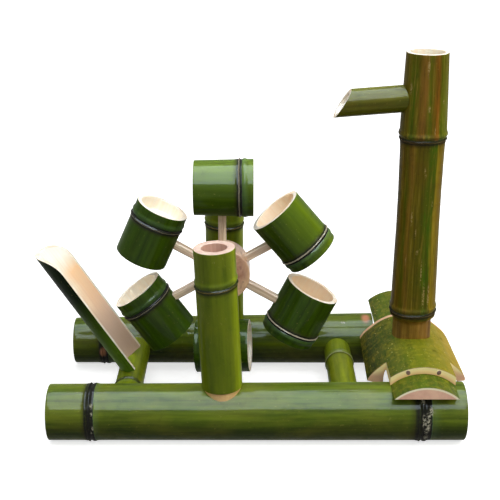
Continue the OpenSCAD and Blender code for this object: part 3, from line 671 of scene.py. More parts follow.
def bore_wall(name, light, warm, fleck):
    """Inside of a culm: cream with long faint fibres and a few papery flecks."""
    net = Net(name)
    place = net.own("grain", True)
    fibres = net.noise(net.stretched(place, 1, 1, 0.05), 330, 4, 0.6)
    flecks = net.noise(place, 110, 4, 0.6)
    body = net.mix(net.spread(fibres, 0.3, 0.7), warm, light)
    body = net.mix(net.spread(flecks, 0.52, 0.75, 0.0, 0.2), body, fleck)
    return net.surface(
        Base_Color=body, Roughness=net.spread(flecks, 0.3, 0.7, 0.4, 0.7), Normal=net.bump(fibres, 0.12),
        Specular_IOR_Level=0.35,
    )


def split_inside_painted_light_and_shade():
    """Inside of the chute: pale cream at the tongue, orange pink lower down, long fibres, a wet gloss. The
    near white at the tongue is painted light and the pink low down painted shade.
    """
    net = Net("split_inside_painted_light_and_shade")
    place = net.own("grain", True)
    fibres = net.noise(net.stretched(place, 1, 1, 0.03), 420, 4, 0.6)
    clouds = net.sum("SUBTRACT", net.noise(net.stretched(place, 1, 1, 0.4), 40, 3, 0.6), 0.5)
    height = net.sum("ADD", net.own("up_chute"), net.sum("MULTIPLY", clouds, 0.2))
    # Up the chute: pink low down as painted shade, near white at the tongue as painted light
    body, _ = net.ramp(height, [
        (0.1, srgb(214, 180, 152)), (0.4, srgb(236, 204, 176)), (0.58, srgb(250, 226, 194)),
        (0.7, srgb(255, 246, 222)), (0.8, srgb(255, 255, 246)),
    ])
    across = net.sum("ADD", net.parts(place)[0], net.sum("MULTIPLY", clouds, 0.02))
    glow, share = net.ramp(height, [
        (0.3, srgb(230, 180, 138), 0.0), (0.52, srgb(242, 184, 128), 0.6), (0.76, srgb(250, 190, 118), 0.85),
        (0.93, srgb(255, 226, 170), 0.15),
    ])
    body = net.mix(net.sum("MULTIPLY", net.spread(across, -0.006, -0.024), share), body, glow)
    body = net.mix(net.spread(fibres, 0.5, 0.8, 0.0, 0.22), body, srgb(206, 150, 108))
    return net.surface(
        Base_Color=body, Roughness=net.spread(fibres, 0.3, 0.7, 0.35, 0.55), Normal=net.bump(fibres, 0.15),
        Coat_Weight=0.2, Coat_Roughness=0.15,
    )


def wood(name, base, dark, axis=(1, 1, 1), scale=90, gloss=0.45, wet=0.3, carried=False):
    """Plain wood: long grain with darker lines, small pores and a soft damp gloss. A carried CAD piece
    has no grain of its own."""
    net = Net(name)
    place = net.object_place() if carried else net.own("grain", True)
    lines = net.noise(net.stretched(place, *axis), scale, 5, 0.65, 0.6)
    pores = net.noise(net.stretched(place, *axis), scale * 7, 2, 0.5)
    body = net.mix(net.spread(lines, 0.35, 0.68), base, dark)
    body = net.mix(net.spread(pores, 0.6, 0.75, 0.0, 0.5), body, darker(dark, 0.5))
    return net.surface(
        Base_Color=body, Roughness=net.spread(pores, 0.3, 0.7, gloss, gloss + 0.2),
        Normal=net.bump(lines, 0.15, net.bump(pores, 0.05)), Coat_Weight=wet, Coat_Roughness=0.2,
    )


def plain_plastic(name, colour, rough, clear=0.0):
    """Moulded plastic with a faint grain; clear lets light through."""
    net = Net(name)
    grain = net.noise(net.object_place(), 1400, 2, 0.5)
    return net.surface(
        Base_Color=net.mix(net.spread(grain, 0.3, 0.7, 0.0, 0.3), colour, darker(colour, 0.8)),
        Roughness=net.spread(grain, 0.3, 0.7, rough, rough + 0.1), Normal=net.bump(grain, 0.02),
        Transmission_Weight=clear, IOR=1.45,
    )


# Colours round the column from its back, by share of a turn: below the upper node, and above it. They are the
# culm's own stripes, and the darkest stops at both ends of the turn are painted shade
STRIPES_AND_SHADE_BELOW = [
    (0.0, srgb(46, 42, 6), 0.9), (0.08, srgb(120, 98, 16), 0.85), (0.125, srgb(86, 98, 8), 0.85),
    (0.16, srgb(146, 110, 36), 0.85), (0.19, srgb(124, 108, 20), 0.85), (0.225, srgb(92, 86, 8), 0.85),
    (0.262, srgb(84, 88, 8), 0.85), (0.29, srgb(58, 98, 4), 0.95), (0.325, srgb(62, 98, 4), 0.95),
    (0.34, srgb(172, 150, 32), 0.9), (0.4, srgb(142, 116, 22), 0.85), (0.46, srgb(108, 106, 22), 0.85),
    (0.7, srgb(92, 90, 18), 0.85), (1.0, srgb(46, 42, 6), 0.9),
]
STRIPES_AND_SHADE_ABOVE = [
    (0.0, srgb(50, 56, 6), 0.9), (0.11, srgb(122, 110, 18), 0.85), (0.155, srgb(78, 110, 6), 0.9),
    (0.185, srgb(122, 102, 20), 0.85), (0.22, srgb(152, 106, 40), 0.85), (0.25, srgb(92, 108, 8), 0.85),
    (0.285, srgb(98, 90, 10), 0.85), (0.32, srgb(150, 92, 24), 0.9), (0.35, srgb(98, 116, 12), 0.85),
    (0.41, srgb(124, 130, 30), 0.85), (0.49, srgb(58, 72, 12), 0.9), (1.0, srgb(44, 50, 10), 0.9),
]
# Colours round the saddle, the posts, two of the cups and the rails, in the same way. They are painted light
# and shade: the saddle lighter on its right and darker on its left, the posts and those cups lighter on their
# lit side, the rails darker underneath
# Painted light and shade across the saddle: golden on its lit right, near black on its shaded left
SADDLE_PAINTED_LIGHT_AND_SHADE = [
    (0.54, srgb(196, 154, 24), 0.9), (0.62, srgb(172, 142, 22), 0.85), (0.69, srgb(132, 126, 16), 0.85),
    (0.76, srgb(98, 112, 14), 0.85), (0.83, srgb(56, 78, 8), 0.88), (0.9, srgb(30, 44, 4), 0.92),
    (0.96, srgb(20, 30, 3), 0.95),
]
# Painted light on the posts: a lighter yellow band on their right front, where the light falls
POST_PAINTED_LIGHT = [
    (0.34, srgb(120, 132, 24), 0.0), (0.43, srgb(164, 182, 38), 0.9), (0.56, srgb(120, 126, 24), 0.0),
]
# Painted light on the lit copy of the cup skin: a lighter band on the side that faces the light
CUP_PAINTED_LIGHT = [
    (0.22, srgb(120, 146, 24), 0.0), (0.33, srgb(132, 158, 28), 0.6), (0.42, srgb(112, 140, 20), 0.35),
    (0.52, srgb(90, 120, 12), 0.0),
]
# Painted shade on the rails: darker round their underside
RAIL_PAINTED_UNDERSHADE = [
    (0.2, srgb(32, 42, 4), 0.85), (0.32, srgb(44, 58, 6), 0.0), (0.71, srgb(44, 58, 6), 0.0),
    (0.79, srgb(32, 42, 4), 0.85),
]


def culm_skins(c):
    plain = node_paint(0.0, 0.0)
    pale_ring = srgb(172, 162, 142)
    return dict(
        rail=fresh_skin(
            "rail_skin", c.rail_dark, c.rail_light, srgb(140, 138, 44),
            node_paint(1.0, 0.1, 6.6, srgb(30, 28, 22)), by_turn=RAIL_PAINTED_UNDERSHADE,
        ),
        bar=fresh_skin(
            "bar_skin", srgb(84, 102, 10), c.bar_light, srgb(160, 158, 40),
            node_paint(0.75, 0.1, 0.8, srgb(150, 156, 96)), seed=3,
        ),
        post=fresh_skin(
            "post_skin", c.post_dark, c.post_light, srgb(138, 142, 34),
            node_paint(0.9, 0.05, 0.9, srgb(168, 142, 84)), seed=5, by_turn=POST_PAINTED_LIGHT,
        ),
        cup=fresh_skin(
            "cup_skin", c.cup_dark, c.cup_light, srgb(70, 86, 12), node_paint(1.0, 0.1, 1.8, pale_ring),
            seed=7, wet=0.1,
        ),
        # Lit copy of the cup skin for the first two cups: lighter colours and a painted light band
        cup_lit=fresh_skin(
            "painted_lit_cup_skin", srgb(34, 54, 4), srgb(72, 98, 10), srgb(86, 102, 16),
            node_paint(1.0, 0.15, 1.8, pale_ring), seed=8, wet=0.1, by_turn=CUP_PAINTED_LIGHT,
        ),
        column=fresh_skin(
            "column_skin", srgb(60, 54, 6), srgb(110, 102, 20), srgb(104, 72, 18),
            node_paint(0.9, 0.05, 0.9, srgb(120, 100, 70)), streak=0.035, patch=0.45, seed=9, speck=0.1,
            wet=0.03, strands=0.5, by_turn=STRIPES_AND_SHADE_BELOW, higher=(NODE_HIGH, STRIPES_AND_SHADE_ABOVE),
            crust=srgb(176, 150, 92),
        ),
        shaved=fresh_skin(
            "shaved_foot", srgb(98, 66, 16), srgb(178, 134, 60), srgb(92, 78, 18), plain, patch=0.6, seed=2,
            wet=0.06, gloss=0.45,
        ),
        spout=fresh_skin(
            "spout_skin", srgb(62, 64, 8), srgb(112, 114, 26), srgb(104, 84, 20), plain, seed=11
        ),
        saddle=fresh_skin(
            "saddle_skin", srgb(56, 68, 10), c.saddle_light, srgb(150, 132, 40), plain, patch=0.25,
            speck=0.8, seed=13, wet=0.02, gloss=0.45, by_turn=SADDLE_PAINTED_LIGHT_AND_SHADE, mottle=0.25, smudge=0.7,
        ),
        slat=fresh_skin(
            "slat_skin", srgb(40, 62, 6), srgb(96, 116, 22), srgb(112, 104, 20), plain, seed=15, wet=0.04,
            speck=0.5, mottle=0.25,
        ),
        # The chute's skin is painted near black as shade, turning lighter green towards its foot
        chute=fresh_skin(
            "chute_skin", srgb(3, 8, 0), srgb(18, 34, 3), srgb(14, 20, 2), plain, seed=17, wet=0.0,
            foot=srgb(118, 156, 36),
        ),
    )


def sawn_faces(c):
    return dict(
        cut=cut_end("cut_end", c.cut_cream, srgb(244, 218, 184)),
        bore=bore_wall("bore_wall", c.cut_cream, c.bore_pink, srgb(232, 196, 158)),
        # Lighter copy of the bore for cups two and three: painted light in their hollows
        painted_lit_bore=bore_wall("painted_lit_bore", srgb(255, 240, 214), srgb(255, 228, 192), srgb(232, 190, 150)),
        post_cut=cut_end("post_rim", srgb(218, 188, 166), srgb(196, 152, 130)),
        # Darker, pinker copy of the bore for the posts: painted shade in their hollow tops
        shaded_post_bore=bore_wall("shaded_post_bore", srgb(222, 184, 162), srgb(204, 162, 142), srgb(170, 124, 104)),
        # The slat's sawn end: the bright cream band along the arc is painted light, and the pink of the face
        # painted shade
        face=cut_end(
            "slat_face_painted_light_and_shade", srgb(246, 200, 168), srgb(228, 174, 146), 0.0,
            [(0.0, srgb(230, 200, 150), 1.0), (0.5, srgb(255, 247, 218), 1.0),
             (2.2, srgb(255, 242, 206), 1.0), (3.0, srgb(246, 200, 168), 0.0)],
        ),
        saddle_cut=cut_end(
            "saddle_edge", srgb(255, 226, 156), srgb(250, 212, 140), 0.0,
            [(0.0, srgb(176, 120, 60), 1.0), (0.8, srgb(255, 238, 172), 1.0),
             (4.0, srgb(255, 232, 164), 0.8), (8.0, srgb(240, 190, 124), 0.9)],
            (35.0, srgb(222, 172, 132)),
        ),
        tenon=cut_end("post_tenon", srgb(238, 196, 132), srgb(216, 168, 102), 0.0),
        band=cut_end("shaved_band", srgb(240, 190, 136), srgb(214, 158, 104), 0.0),
        inside=split_inside_painted_light_and_shade(),
    )


def woods_and_plastics(c):
    return dict(
        hub=wood("hub_wood", c.hub_wood, srgb(138, 68, 36), (1, 1, 0.6), 24),
        spoke=wood("spoke_wood", c.spoke_wood, srgb(200, 160, 122), (1, 1, 0.06), 260),
        turned=wood("turned_wood", srgb(196, 158, 112), srgb(140, 100, 66), (1, 1, 0.08), 200),
        peg=wood("peg_wood", srgb(128, 88, 66), srgb(84, 52, 40), (1, 1, 0.1), 300),
        dowel=wood("dowel_wood", srgb(196, 164, 118), srgb(150, 112, 74), scale=300, carried=True),
        black=plain_plastic("black_plastic", srgb(34, 34, 34), 0.35),
        clear=plain_plastic("clear_tube", srgb(226, 232, 228), 0.18, 0.85),
    )


FINISHES = {}


def finishes():
    """All finishes, made once and kept by name."""
    if not FINISHES:
        c = colours()
        FINISHES.update(culm_skins(c) | sawn_faces(c) | woods_and_plastics(c))
    return FINISHES


def skinned(skin, cut="cut", bore="bore", shaved=None):
    """Finishes of a culm in the order of its kinds; few culms have a shaved part."""
    m = finishes()
    return [m[skin], m[cut], m[bore]] + ([m[shaved]] if shaved else [])


def open_ends(total, girth, rings, wall, scars=(), low=True, high=True):
    """Outline of a culm whose ends are open as far as the nearest inner wall, or closed flat where asked.
    The bore follows the girth, and narrows by 2 mm in the last 1.5 mm before the inner wall."""
    profile, rounding = Profile(), sizes().end_round / MM
    r_low, r_high = np.interp([0, total], *girth)
    low_bore, high_bore = r_low - wall, r_high - wall
    if low:
        deep = rings[0] - DIAPHRAGM / 2
        bore = float(np.interp(deep, *girth)) - wall
        profile.go(deep, 0, BORE).go(deep, bore - 2, BORE, 3).go(deep - 1.5, bore, BORE)
        profile.go(0.3, low_bore, BORE, 6).go(0, low_bore + 0.3, CUT)
    else:
        profile.go(0, 0, CUT)
    profile.rounded(0, r_low, rounding, -1)
    profile.skin(rounding, total - rounding, girth, rings, scars)
    profile.rounded(total, r_high, rounding, 1)
    if high:
        deep = rings[-1] + DIAPHRAGM / 2
        bore = float(np.interp(deep, *girth)) - wall
        profile.go(total, high_bore + 0.3, CUT).go(total - 0.3, high_bore, BORE)
        profile.go(deep + 1.5, bore, BORE, 6).go(deep, bore - 2, BORE).go(deep, 0, BORE, 3)
    else:
        profile.go(total, 0, CUT)
    return profile


# Stage

# In metres, and the camera's tilt in degrees
FLOOR_REACH, FLOOR_DROP = 30.0, 0.0002
CAMERA_PLACE, CAMERA_TILT, CAMERA_LENS, CAMERA_SENSOR = (0.00058, -1.2092, 0.6535), 20.6, 74.88, 36.0
# Name, width, depth, place, aim, radiance, colour, and whether it lights dull surfaces as well as wet ones
LAMPS = (
    ("overhead", 2.2, 4.4, (0.1, -1.2, 2.3), (0.1, -1.2, 0), 1.7, (1, 1, 1), True),
    ("sky_band", 2.2, 4.4, (0.1, -1.2, 2.31), (0.1, -1.2, 0), 37.0, (0.73, 0.87, 1), False),
    ("right_key", 1.1, 1.1, (1.9, -1.1, 1.9), (0, 0, 0.15), 7.0, (1, 0.97, 0.9), True),
)


def place_object(name, data):
    placed = bpy.data.objects.new(name, data)
    bpy.context.scene.collection.objects.link(placed)
    return placed


def lay_floor():
    """A wide sheet that takes the shadow: white where it is seen, and dull where it only lights."""
    net = Net("pale_floor")
    seen = net.shown()
    paint = net.add("ShaderNodeBsdfDiffuse")
    net.put(paint.inputs["Color"], net.mix(seen, (0.12, 0.11, 0.09), (0.8, 0.8, 0.8)))
    away = net.add("ShaderNodeVectorMath", operation="LENGTH")
    net.put(away.inputs[0], net.object_place())
    strength = net.spread(away.outputs["Value"], 0.3, 1.2, 0.68, 1.0)
    glow = net.add("ShaderNodeEmission")
    net.put(glow.inputs["Strength"], net.sum("MULTIPLY", seen, strength))
    mesh = bpy.data.meshes.new("floor")
    corners = [(-1, -1), (1, -1), (1, 1), (-1, 1)]
    mesh.from_pydata([(x * FLOOR_REACH, y * FLOOR_REACH, 0) for x, y in corners], [], [(0, 1, 2, 3)])
    mesh.materials.append(net.close(net.both("ShaderNodeAddShader", paint.outputs[0], glow.outputs[0])))
    floor = place_object("floor", mesh)
    floor.location.z = -FLOOR_DROP


def surround():
    """Surroundings that are white where they are seen and give a dim cool light."""
    net = Net("surroundings", bpy.data.worlds.new("surroundings"))
    dim, white = net.add("ShaderNodeBackground"), net.add("ShaderNodeBackground")
    net.put(dim.inputs["Strength"], 0.3)
    net.put(dim.inputs["Color"], (0.95, 0.98, 1))
    net.put(white.inputs["Color"], (1, 1, 1))
    mixed = net.both("ShaderNodeMixShader", dim.outputs[0], white.outputs[0], net.shown())
    bpy.context.scene.world = net.close(mixed, "ShaderNodeOutputWorld")


def hang_lamps():
    """Flat lamps of an even radiance: two level ones overhead, and a square one aimed from the right."""
    for name, width, depth, place, aim, radiance, colour, lights in LAMPS:
        lamp = bpy.data.lights.new(name, "AREA")
        lamp.shape = "RECTANGLE"
        lamp.size, lamp.size_y = width, depth
        lamp.energy = radiance * math.pi * width * depth
        lamp.color = colour
        light = place_object(name, lamp)
        light.location = place
        if depth == width:
            light.rotation_euler = (Vector(aim) - Vector(place)).to_track_quat("-Z", "Y").to_euler()
        light.visible_camera = False
        light.visible_diffuse = lights


class FOUNTAIN_OT_stage(Operator):
    """Pale floor, white surroundings, lamps and the camera."""

    bl_idname = "fountain.stage"
    bl_label = "Stage"

    def execute(self, context):
        context.scene.view_settings.view_transform = "Standard"
        lay_floor()
        surround()
        hang_lamps()
        eye = bpy.data.cameras.new("camera")
        eye.lens, eye.sensor_width = CAMERA_LENS, CAMERA_SENSOR
        camera = place_object("camera", eye)
        camera.location = CAMERA_PLACE
        camera.rotation_euler = (math.radians(90 - CAMERA_TILT), 0, 0)
        context.scene.camera = camera
        return {"FINISHED"}


class FOUNTAIN_OT_rails(Operator):
    """Front and rear rail: long culms with node rings, open sawn ends and a planed underside."""

    bl_idname = "fountain.rails"
    bl_label = "Rails"

    def execute(self, context):
        flecks = tuple((*fleck, 0.25) for fleck in (
            (443.5, 76, 1.8, 4), (448.5, 70, 2.4, 3), (449, 84, 2.2, 5), (444.5, 88, 2.6, 5),
            (448, 98, 2.6, 4), (446, 104, 2.2, 3), (452, 62, 2.2, 5), (442.5, 44, 2.2, 3),
            (447, 122, 2.4, 5), (54, 50, 1.6, 3), (54.5, 66, 1.2, 1.6), (55.5, 96, 1, 2),
            (53.5, 108, 1, 2), (447, 150, 2.4, 4), (445, 20, 2.2, 4),
        ))
        branches = ((40.5, 97.0, 4.2, 6.5, 1.6), (398.0, 12.0, 5.5, 9.0, 0.0))
        fleck = ((367.0, 26.0, 3.0, 1.8, 0.2),)
        for name, y, total, r_left, r_right, rings, wide, scars, crusts, seed in (
            ("front_rail", 0.0, 495.0, 33.25, 34.7, (50.0, 442.0), (1.0, 1.7), (), flecks, 11),
            ("rear_rail", RAIL_SPACING, 407.5, 30.8, 34.25, (40.0,), (1.0,), branches, fleck, 12),
        ):
            girth = ([0, total], [r_left, r_right])
            profile = open_ends(total, girth, rings, RAIL_WALL, scars, high=name == "front_rail")
            culm_piece(
                name + "_culm", [name], skinned("rail"), (RAIL_LEFT, y, r_left - PLANED),
                (1, 0, (r_right - r_left) / total), (0, 0, 1), profile, rings, 1, seed, scars=scars,
                crusts=crusts, wide=wide, level=True,
            )
        return {"FINISHED"}


class FOUNTAIN_OT_cross_bars(Operator):
    """The two thin culms between the rails, and the log under the slat's tail."""

    bl_idname = "fountain.cross_bars"
    bl_label = "Cross bars and foot"

    def execute(self, context):
        rounding = sizes().end_round / MM
        for name, x, ring, front, rear, up, seed in (
            ("left_cross_bar", CHUTE_X, 40.5, 17.5, 188.4, -1, 21),
            ("right_cross_bar", 152.0, 115.0, 18.3, 186.0, 1, 22),
        ):
            girth = ([0, rear - front], [BAR_R, BAR_R])
            profile = open_ends(rear - front, girth, (ring,), BAR_WALL, low=False, high=False)
            culm_piece(
                name + "_culm", [name], skinned("bar"), (x, front, BAR_Z), (0, 1, 0), (0, 0, 1),
                profile, (ring,), up, seed, around=96,
            )
        bore = FOOT_R - RAIL_WALL
        girth = ([0, FOOT_LENGTH], [FOOT_R, FOOT_R])
        profile = Profile().go(0.3, bore, BORE).go(0, bore + 0.3, CUT).rounded(0, FOOT_R, rounding, -1)
        profile.skin(rounding, FOOT_LENGTH - rounding, girth).rounded(FOOT_LENGTH, FOOT_R, rounding, 1)
        profile.go(FOOT_LENGTH, bore + 0.3, CUT).go(FOOT_LENGTH - 0.3, bore, BORE)
        culm_piece(
            "rear_foot_culm", ["rear_foot"], skinned("rail"),
            (COLUMN_X - FOOT_REACH, RAIL_SPACING, FOOT_R - PLANED), (1, 0, 0), (0, 0, 1), profile, seed=23,
            wrap_rows=True, level=True,
        )
        return {"FINISHED"}


class FOUNTAIN_OT_posts(Operator):
    """The two posts that carry the wheel, open at the top, with a round tenon below the shoulder."""

    bl_idname = "fountain.posts"
    bl_label = "Posts"

    def execute(self, context):
        rounding = sizes().end_round / MM
        for name, x, y, r, base, inner_wall, node, lean, tilt, seed in (
            ("front_post", 1.0, 0.0, 24.0, 68.319, 192.0, 199.5, 2.5, 1.9, 31),
            ("rear_post", 0.0, RAIL_SPACING, 25.0, 65.211, 200.0, 203.0, 0.0, 0.0, 32),
        ):
            high, ring, slope = POST_TOP - base, node - base, math.radians(lean)
            bore, deep = r - POST_WALL, inner_wall - base + DIAPHRAGM / 2
            profile = Profile().go(-TENON_DEPTH, 0, SHAVED).go(-TENON_DEPTH, TENON_R, SHAVED)
            profile.go(0, TENON_R, SHAVED, 8).rounded(0, r, rounding, -1)
            profile.skin(rounding, high - rounding, ([0, high], [r, r]), (ring,))
            profile.rounded(high, r, rounding, 1).go(high, bore + 0.3, CUT).go(high - 0.3, bore, BORE)
            profile.go(deep + 1.5, bore, BORE, 5).go(deep, bore - 2, BORE).go(deep, 0, BORE, 3)
            culm_piece(
                name + "_culm", [name], skinned("post", "post_cut", "shaded_post_bore", "tenon"),
                (x, y, base), (-math.sin(slope), 0, math.cos(slope)), (1, 0, 0), profile, (ring,), 1, seed,
                tilt=tilt,
            )
        return {"FINISHED"}


def spoke_turn(k):
    """Angle of a spoke in the wheel's plane, from the right towards up."""
    return math.radians(90 - 60 * k)


def in_wheel(x, z):
    """A point of the wheel's plane, in the maker's measures."""
    return np.array([x, WHEEL_Y, AXLE_Z + z])


class FOUNTAIN_OT_hub(Operator):
    """Turned hub with its axle and the two spacer sleeves."""

    bl_idname = "fountain.hub"
    bl_label = "Hub and axle"

    def execute(self, context):
        m = finishes()
        half = HUB_W / 2
        dish = half - DISH_DEPTH
        profile = Profile().go(-dish, 0, CUT).go(-dish, DISH_R, CUT, 3).go(-half, DISH_R + 3, CUT, 1)
        profile.go(-half, HUB_R - 2.2, CUT, 2.5).rounded(-half, HUB_R, HUB_ROUND, -1)
        profile.go(half - HUB_ROUND, HUB_R, CUT, 3).rounded(half, HUB_R, HUB_ROUND, 1)
        profile.go(half, DISH_R + 3, CUT, 2.5).go(dish, DISH_R, CUT, 1).go(dish, 0, CUT, 3)
        culm_piece(
            "wheel_hub_disc", ["wheel_hub"], [m["hub"]] * 3, in_wheel(0, 0), (0, 1, 0), (0, 0, 1),
            profile, seed=41, body="wheel",
        )
        for name, start, stop, r in (
            ("axle", 11.0, 192.0, AXLE_R),
            ("front_spacer", 24.8, 83.85, SPACER_R),
            ("rear_spacer", 120.15, 178.2, SPACER_R),
        ):
            total = stop - start
            profile = Profile().go(0, 0, CUT).rounded(0, r, ROD_ROUND, -1)
            profile.go(total - ROD_ROUND, r, CUT, 6).rounded(total, r, ROD_ROUND, 1).go(total, 0, CUT)
            culm_piece(
                name + "_rod", [name], [m["turned"]] * 3, (0, start, AXLE_Z), (0, 1, 0),
                (0, 0, 1), profile, seed=42, body="wheel", around=64,
            )
        return {"FINISHED"}


class FOUNTAIN_OT_spokes(Operator):
    """Six square sticks with soft corners; a round tenon shows inside each cup."""

    bl_idname = "fountain.spokes"
    bl_label = "Spokes"

    def execute(self, context):
        m = finishes()
        for k in range(6):
            turn = spoke_turn(k)
            cup_wall_at = CUP_REACH[k] - (CUP_MOUTH_D[k] + CUP_BUTT_D[k]) / 4
            start, shoulder = HUB_R - SPOKE_INTO_HUB, cup_wall_at + 3
            stop = cup_wall_at + CUP_WALL + SPOKE_PAST_WALL
            profile = Profile().go(start, 0, CUT).go(start, SPOKE_R, CUT).go(shoulder, SPOKE_R, CUT, 3)
            profile.go(shoulder + 0.4, SPOKE_TENON_R, CUT).go(stop - 0.5, SPOKE_TENON_R, CUT)
            profile.go(stop, SPOKE_TENON_R - 0.5, CUT).go(stop, 0, CUT)

            def squared(distance, radius, angle, edge=shoulder, phase=k * 1.7):
                """Round section to a square one: the radius grows towards the corners, up to a soft limit."""
                corner = np.minimum(1 / np.maximum(abs(np.cos(angle)), abs(np.sin(angle))), 1.23)
                thick = 1 + 0.03 * np.sin(distance / 14 + phase)
                return distance, np.where(distance <= edge, radius * corner * thick, radius)

            culm_piece(
                "spoke_%d_stick" % (k + 1), ["spoke_%d" % (k + 1)], [m["spoke"]] * 3,
                in_wheel(0, 0), (math.cos(turn), 0, math.sin(turn)), (0, -1, 0), profile, seed=50 + k,
                body="wheel", bend=squared, around=64,
            )
        return {"FINISHED"}


class FOUNTAIN_OT_cups(Operator):
    """Six cups sawn from culms, each with one node near its closed end."""

    bl_idname = "fountain.cups"
    bl_label = "Cups"

    def execute(self, context):
        for k in range(6):
            turn = spoke_turn(k)
            heading = turn + math.radians(90 + CUP_TURN[k])
            twist = math.radians(CUP_TWIST[k])
            level = math.cos(twist)
            out = np.array([math.cos(heading) * level, -math.sin(twist), math.sin(heading) * level])
            middle = in_wheel(CUP_REACH[k] * math.cos(turn), CUP_REACH[k] * math.sin(turn))
            girth = ([0, CUP_LENGTH[k]], [CUP_MOUTH_D[k] / 2, CUP_BUTT_D[k] / 2])
            ring = CUP_LENGTH[k] - CUP_STUB[k]
            profile = open_ends(CUP_LENGTH[k], girth, (ring,), CUP_WALL)
            # The first two cups take the lit copy of the skin, and cups two and three the lighter bore: both
            # painted light
            looks = skinned("cup_lit" if k < 2 else "cup", bore="painted_lit_bore" if k in (1, 2) else "bore")
            culm_piece(
                "cup_%d_culm" % (k + 1), ["cup_%d" % (k + 1)], looks,
                middle + out * (CUP_LENGTH[k] / 2 + CUP_SLIDE[k]), -out, (0, -1, 0), profile, (ring,), 1,
                61 + k, "wheel",
            )
        return {"FINISHED"}


def along_spout():
    """Direction of the spout, from the column's axis down to its mouth."""
    slope = math.radians(SPOUT_SLOPE)
    return np.array([-math.cos(slope), 0, -math.sin(slope)])


def in_spout(points):
    """Cells whose middle lies inside the spout's hole, by its distance from the spout's axis."""
    middle = (points[:-1] + points[1:]) / 2
    middle = (middle + np.roll(middle, -1, 1)) / 2 - [COLUMN_X, WHEEL_Y, SPOUT_Z]
    reach = middle @ along_spout()
    across = np.linalg.norm(middle - reach[..., None] * along_spout(), axis=-1)
    return (reach > 0) & (across < SPOUT_HOLE_R)


class FOUNTAIN_OT_column(Operator):
    """Water column, open at the top, with a hole for the spout and a foot shaved down with a knife."""

    bl_idname = "fountain.column"
    bl_label = "Water column"

    def execute(self, context):
        rounding = sizes().end_round / MM
        skin_from, foot_r, top_r = NODE_LOW - 8, 28, 24.8
        stations = [140, 172, 196, 232, 280, 303, 327, NODE_HIGH - 3, NODE_HIGH + 4, 400]
        radii = [27.6, 27.1, 26.7, 26.0, 25.8, 26.1, 26.3, 26.7, 28, 26.4]
        girth = ([skin_from, NODE_LOW, *stations, COLUMN_TOP], [foot_r, foot_r, *radii, top_r])
        profile = Profile().go(NODE_LOW - 3, 0, BORE).go(NODE_LOW - 3, TUBE_ROOM, BORE, 4)
        profile.go(SLAT_Z, TUBE_ROOM, BORE, 8).go(SLAT_Z, COLUMN_TENON_R, CUT)
        profile.go(SLAT_CROWN, COLUMN_TENON_R, CUT, 4).go(SLAT_CROWN + 0.3, KNIFE_R, SHAVED)
        profile.go(skin_from - 5, KNIFE_R, SHAVED, 2).go(skin_from, 26.9, SHAVED, 0.8)
        profile.rounded(skin_from, foot_r, rounding, -1).skin(
            skin_from + rounding, COLUMN_TOP - rounding, girth, (NODE_LOW, NODE_HIGH),
            extra=evenly(SPOUT_Z - 19, SPOUT_Z + 19, 1.0),
        )
        rows = np.array(profile.rows)
        high = np.flatnonzero((rows[:, 3] > 0) & (rows[:, 0] > NODE_HIGH + 5))
        stations = rows[high, 0]
        profile.rounded(COLUMN_TOP, top_r, rounding, 1).go(COLUMN_TOP, COLUMN_BORE + 0.3, CUT)
        profile.go(COLUMN_TOP - 0.3, COLUMN_BORE, BORE)
        first_bore = len(profile.rows)
        profile.rows += [(s, COLUMN_BORE, BORE, 0) for s in stations[::-1]]
        profile.go(CHAMBER_Z, COLUMN_BORE - 2, BORE).go(CHAMBER_Z, 0, BORE, 3)

        def knife(distance, radius, angle):
            """Flats of the knife: the radius of a many-sided figure, on the shaved foot alone."""
            side = 2 * math.pi / sizes().knife_facets
            flat = math.cos(side / 2) / np.cos(np.mod(angle + distance * 0.004, side) - side / 2)
            on = (distance > SLAT_CROWN + 0.2) & (distance < skin_from - 0.5)
            return distance, np.where(on, radius * (0.35 + 0.65 * flat), radius)

        chips = tuple((*chip, 0.15) for chip in (
            (311, -88, 3, 1), (304, -86, 1.6, 1.2), (251, -116, 8, 1), (182, -83, 14, 0.8),
            (150, -74, 16, 1.3), (150, -59, 15, 1.4), (208, -97, 1.6, 1.2), (432, -94, 9, 1.2),
            (406, -139, 6, 1.8), (384, -87, 3.5, 1.3), (391, -46, 2.4, 1.2), (232, -104, 5, 0.7),
            (268, -62, 4, 0.7), (196, -126, 5, 0.7), (358, -70, 4, 0.7),
        ))
        hole = {"rows": (high, first_bore + np.arange(len(stations))[::-1]), "test": in_spout}
        culm_piece(
            "water_column_culm", ["water_column"], skinned("column", shaved="shaved"),
            (COLUMN_X, WHEEL_Y, 0), (0, 0, 1), (1, 0, 0), profile, (NODE_LOW, NODE_HIGH), 1, 71, bend=knife,
            hole=hole, around=160, crusts=chips,
        )
        return {"FINISHED"}


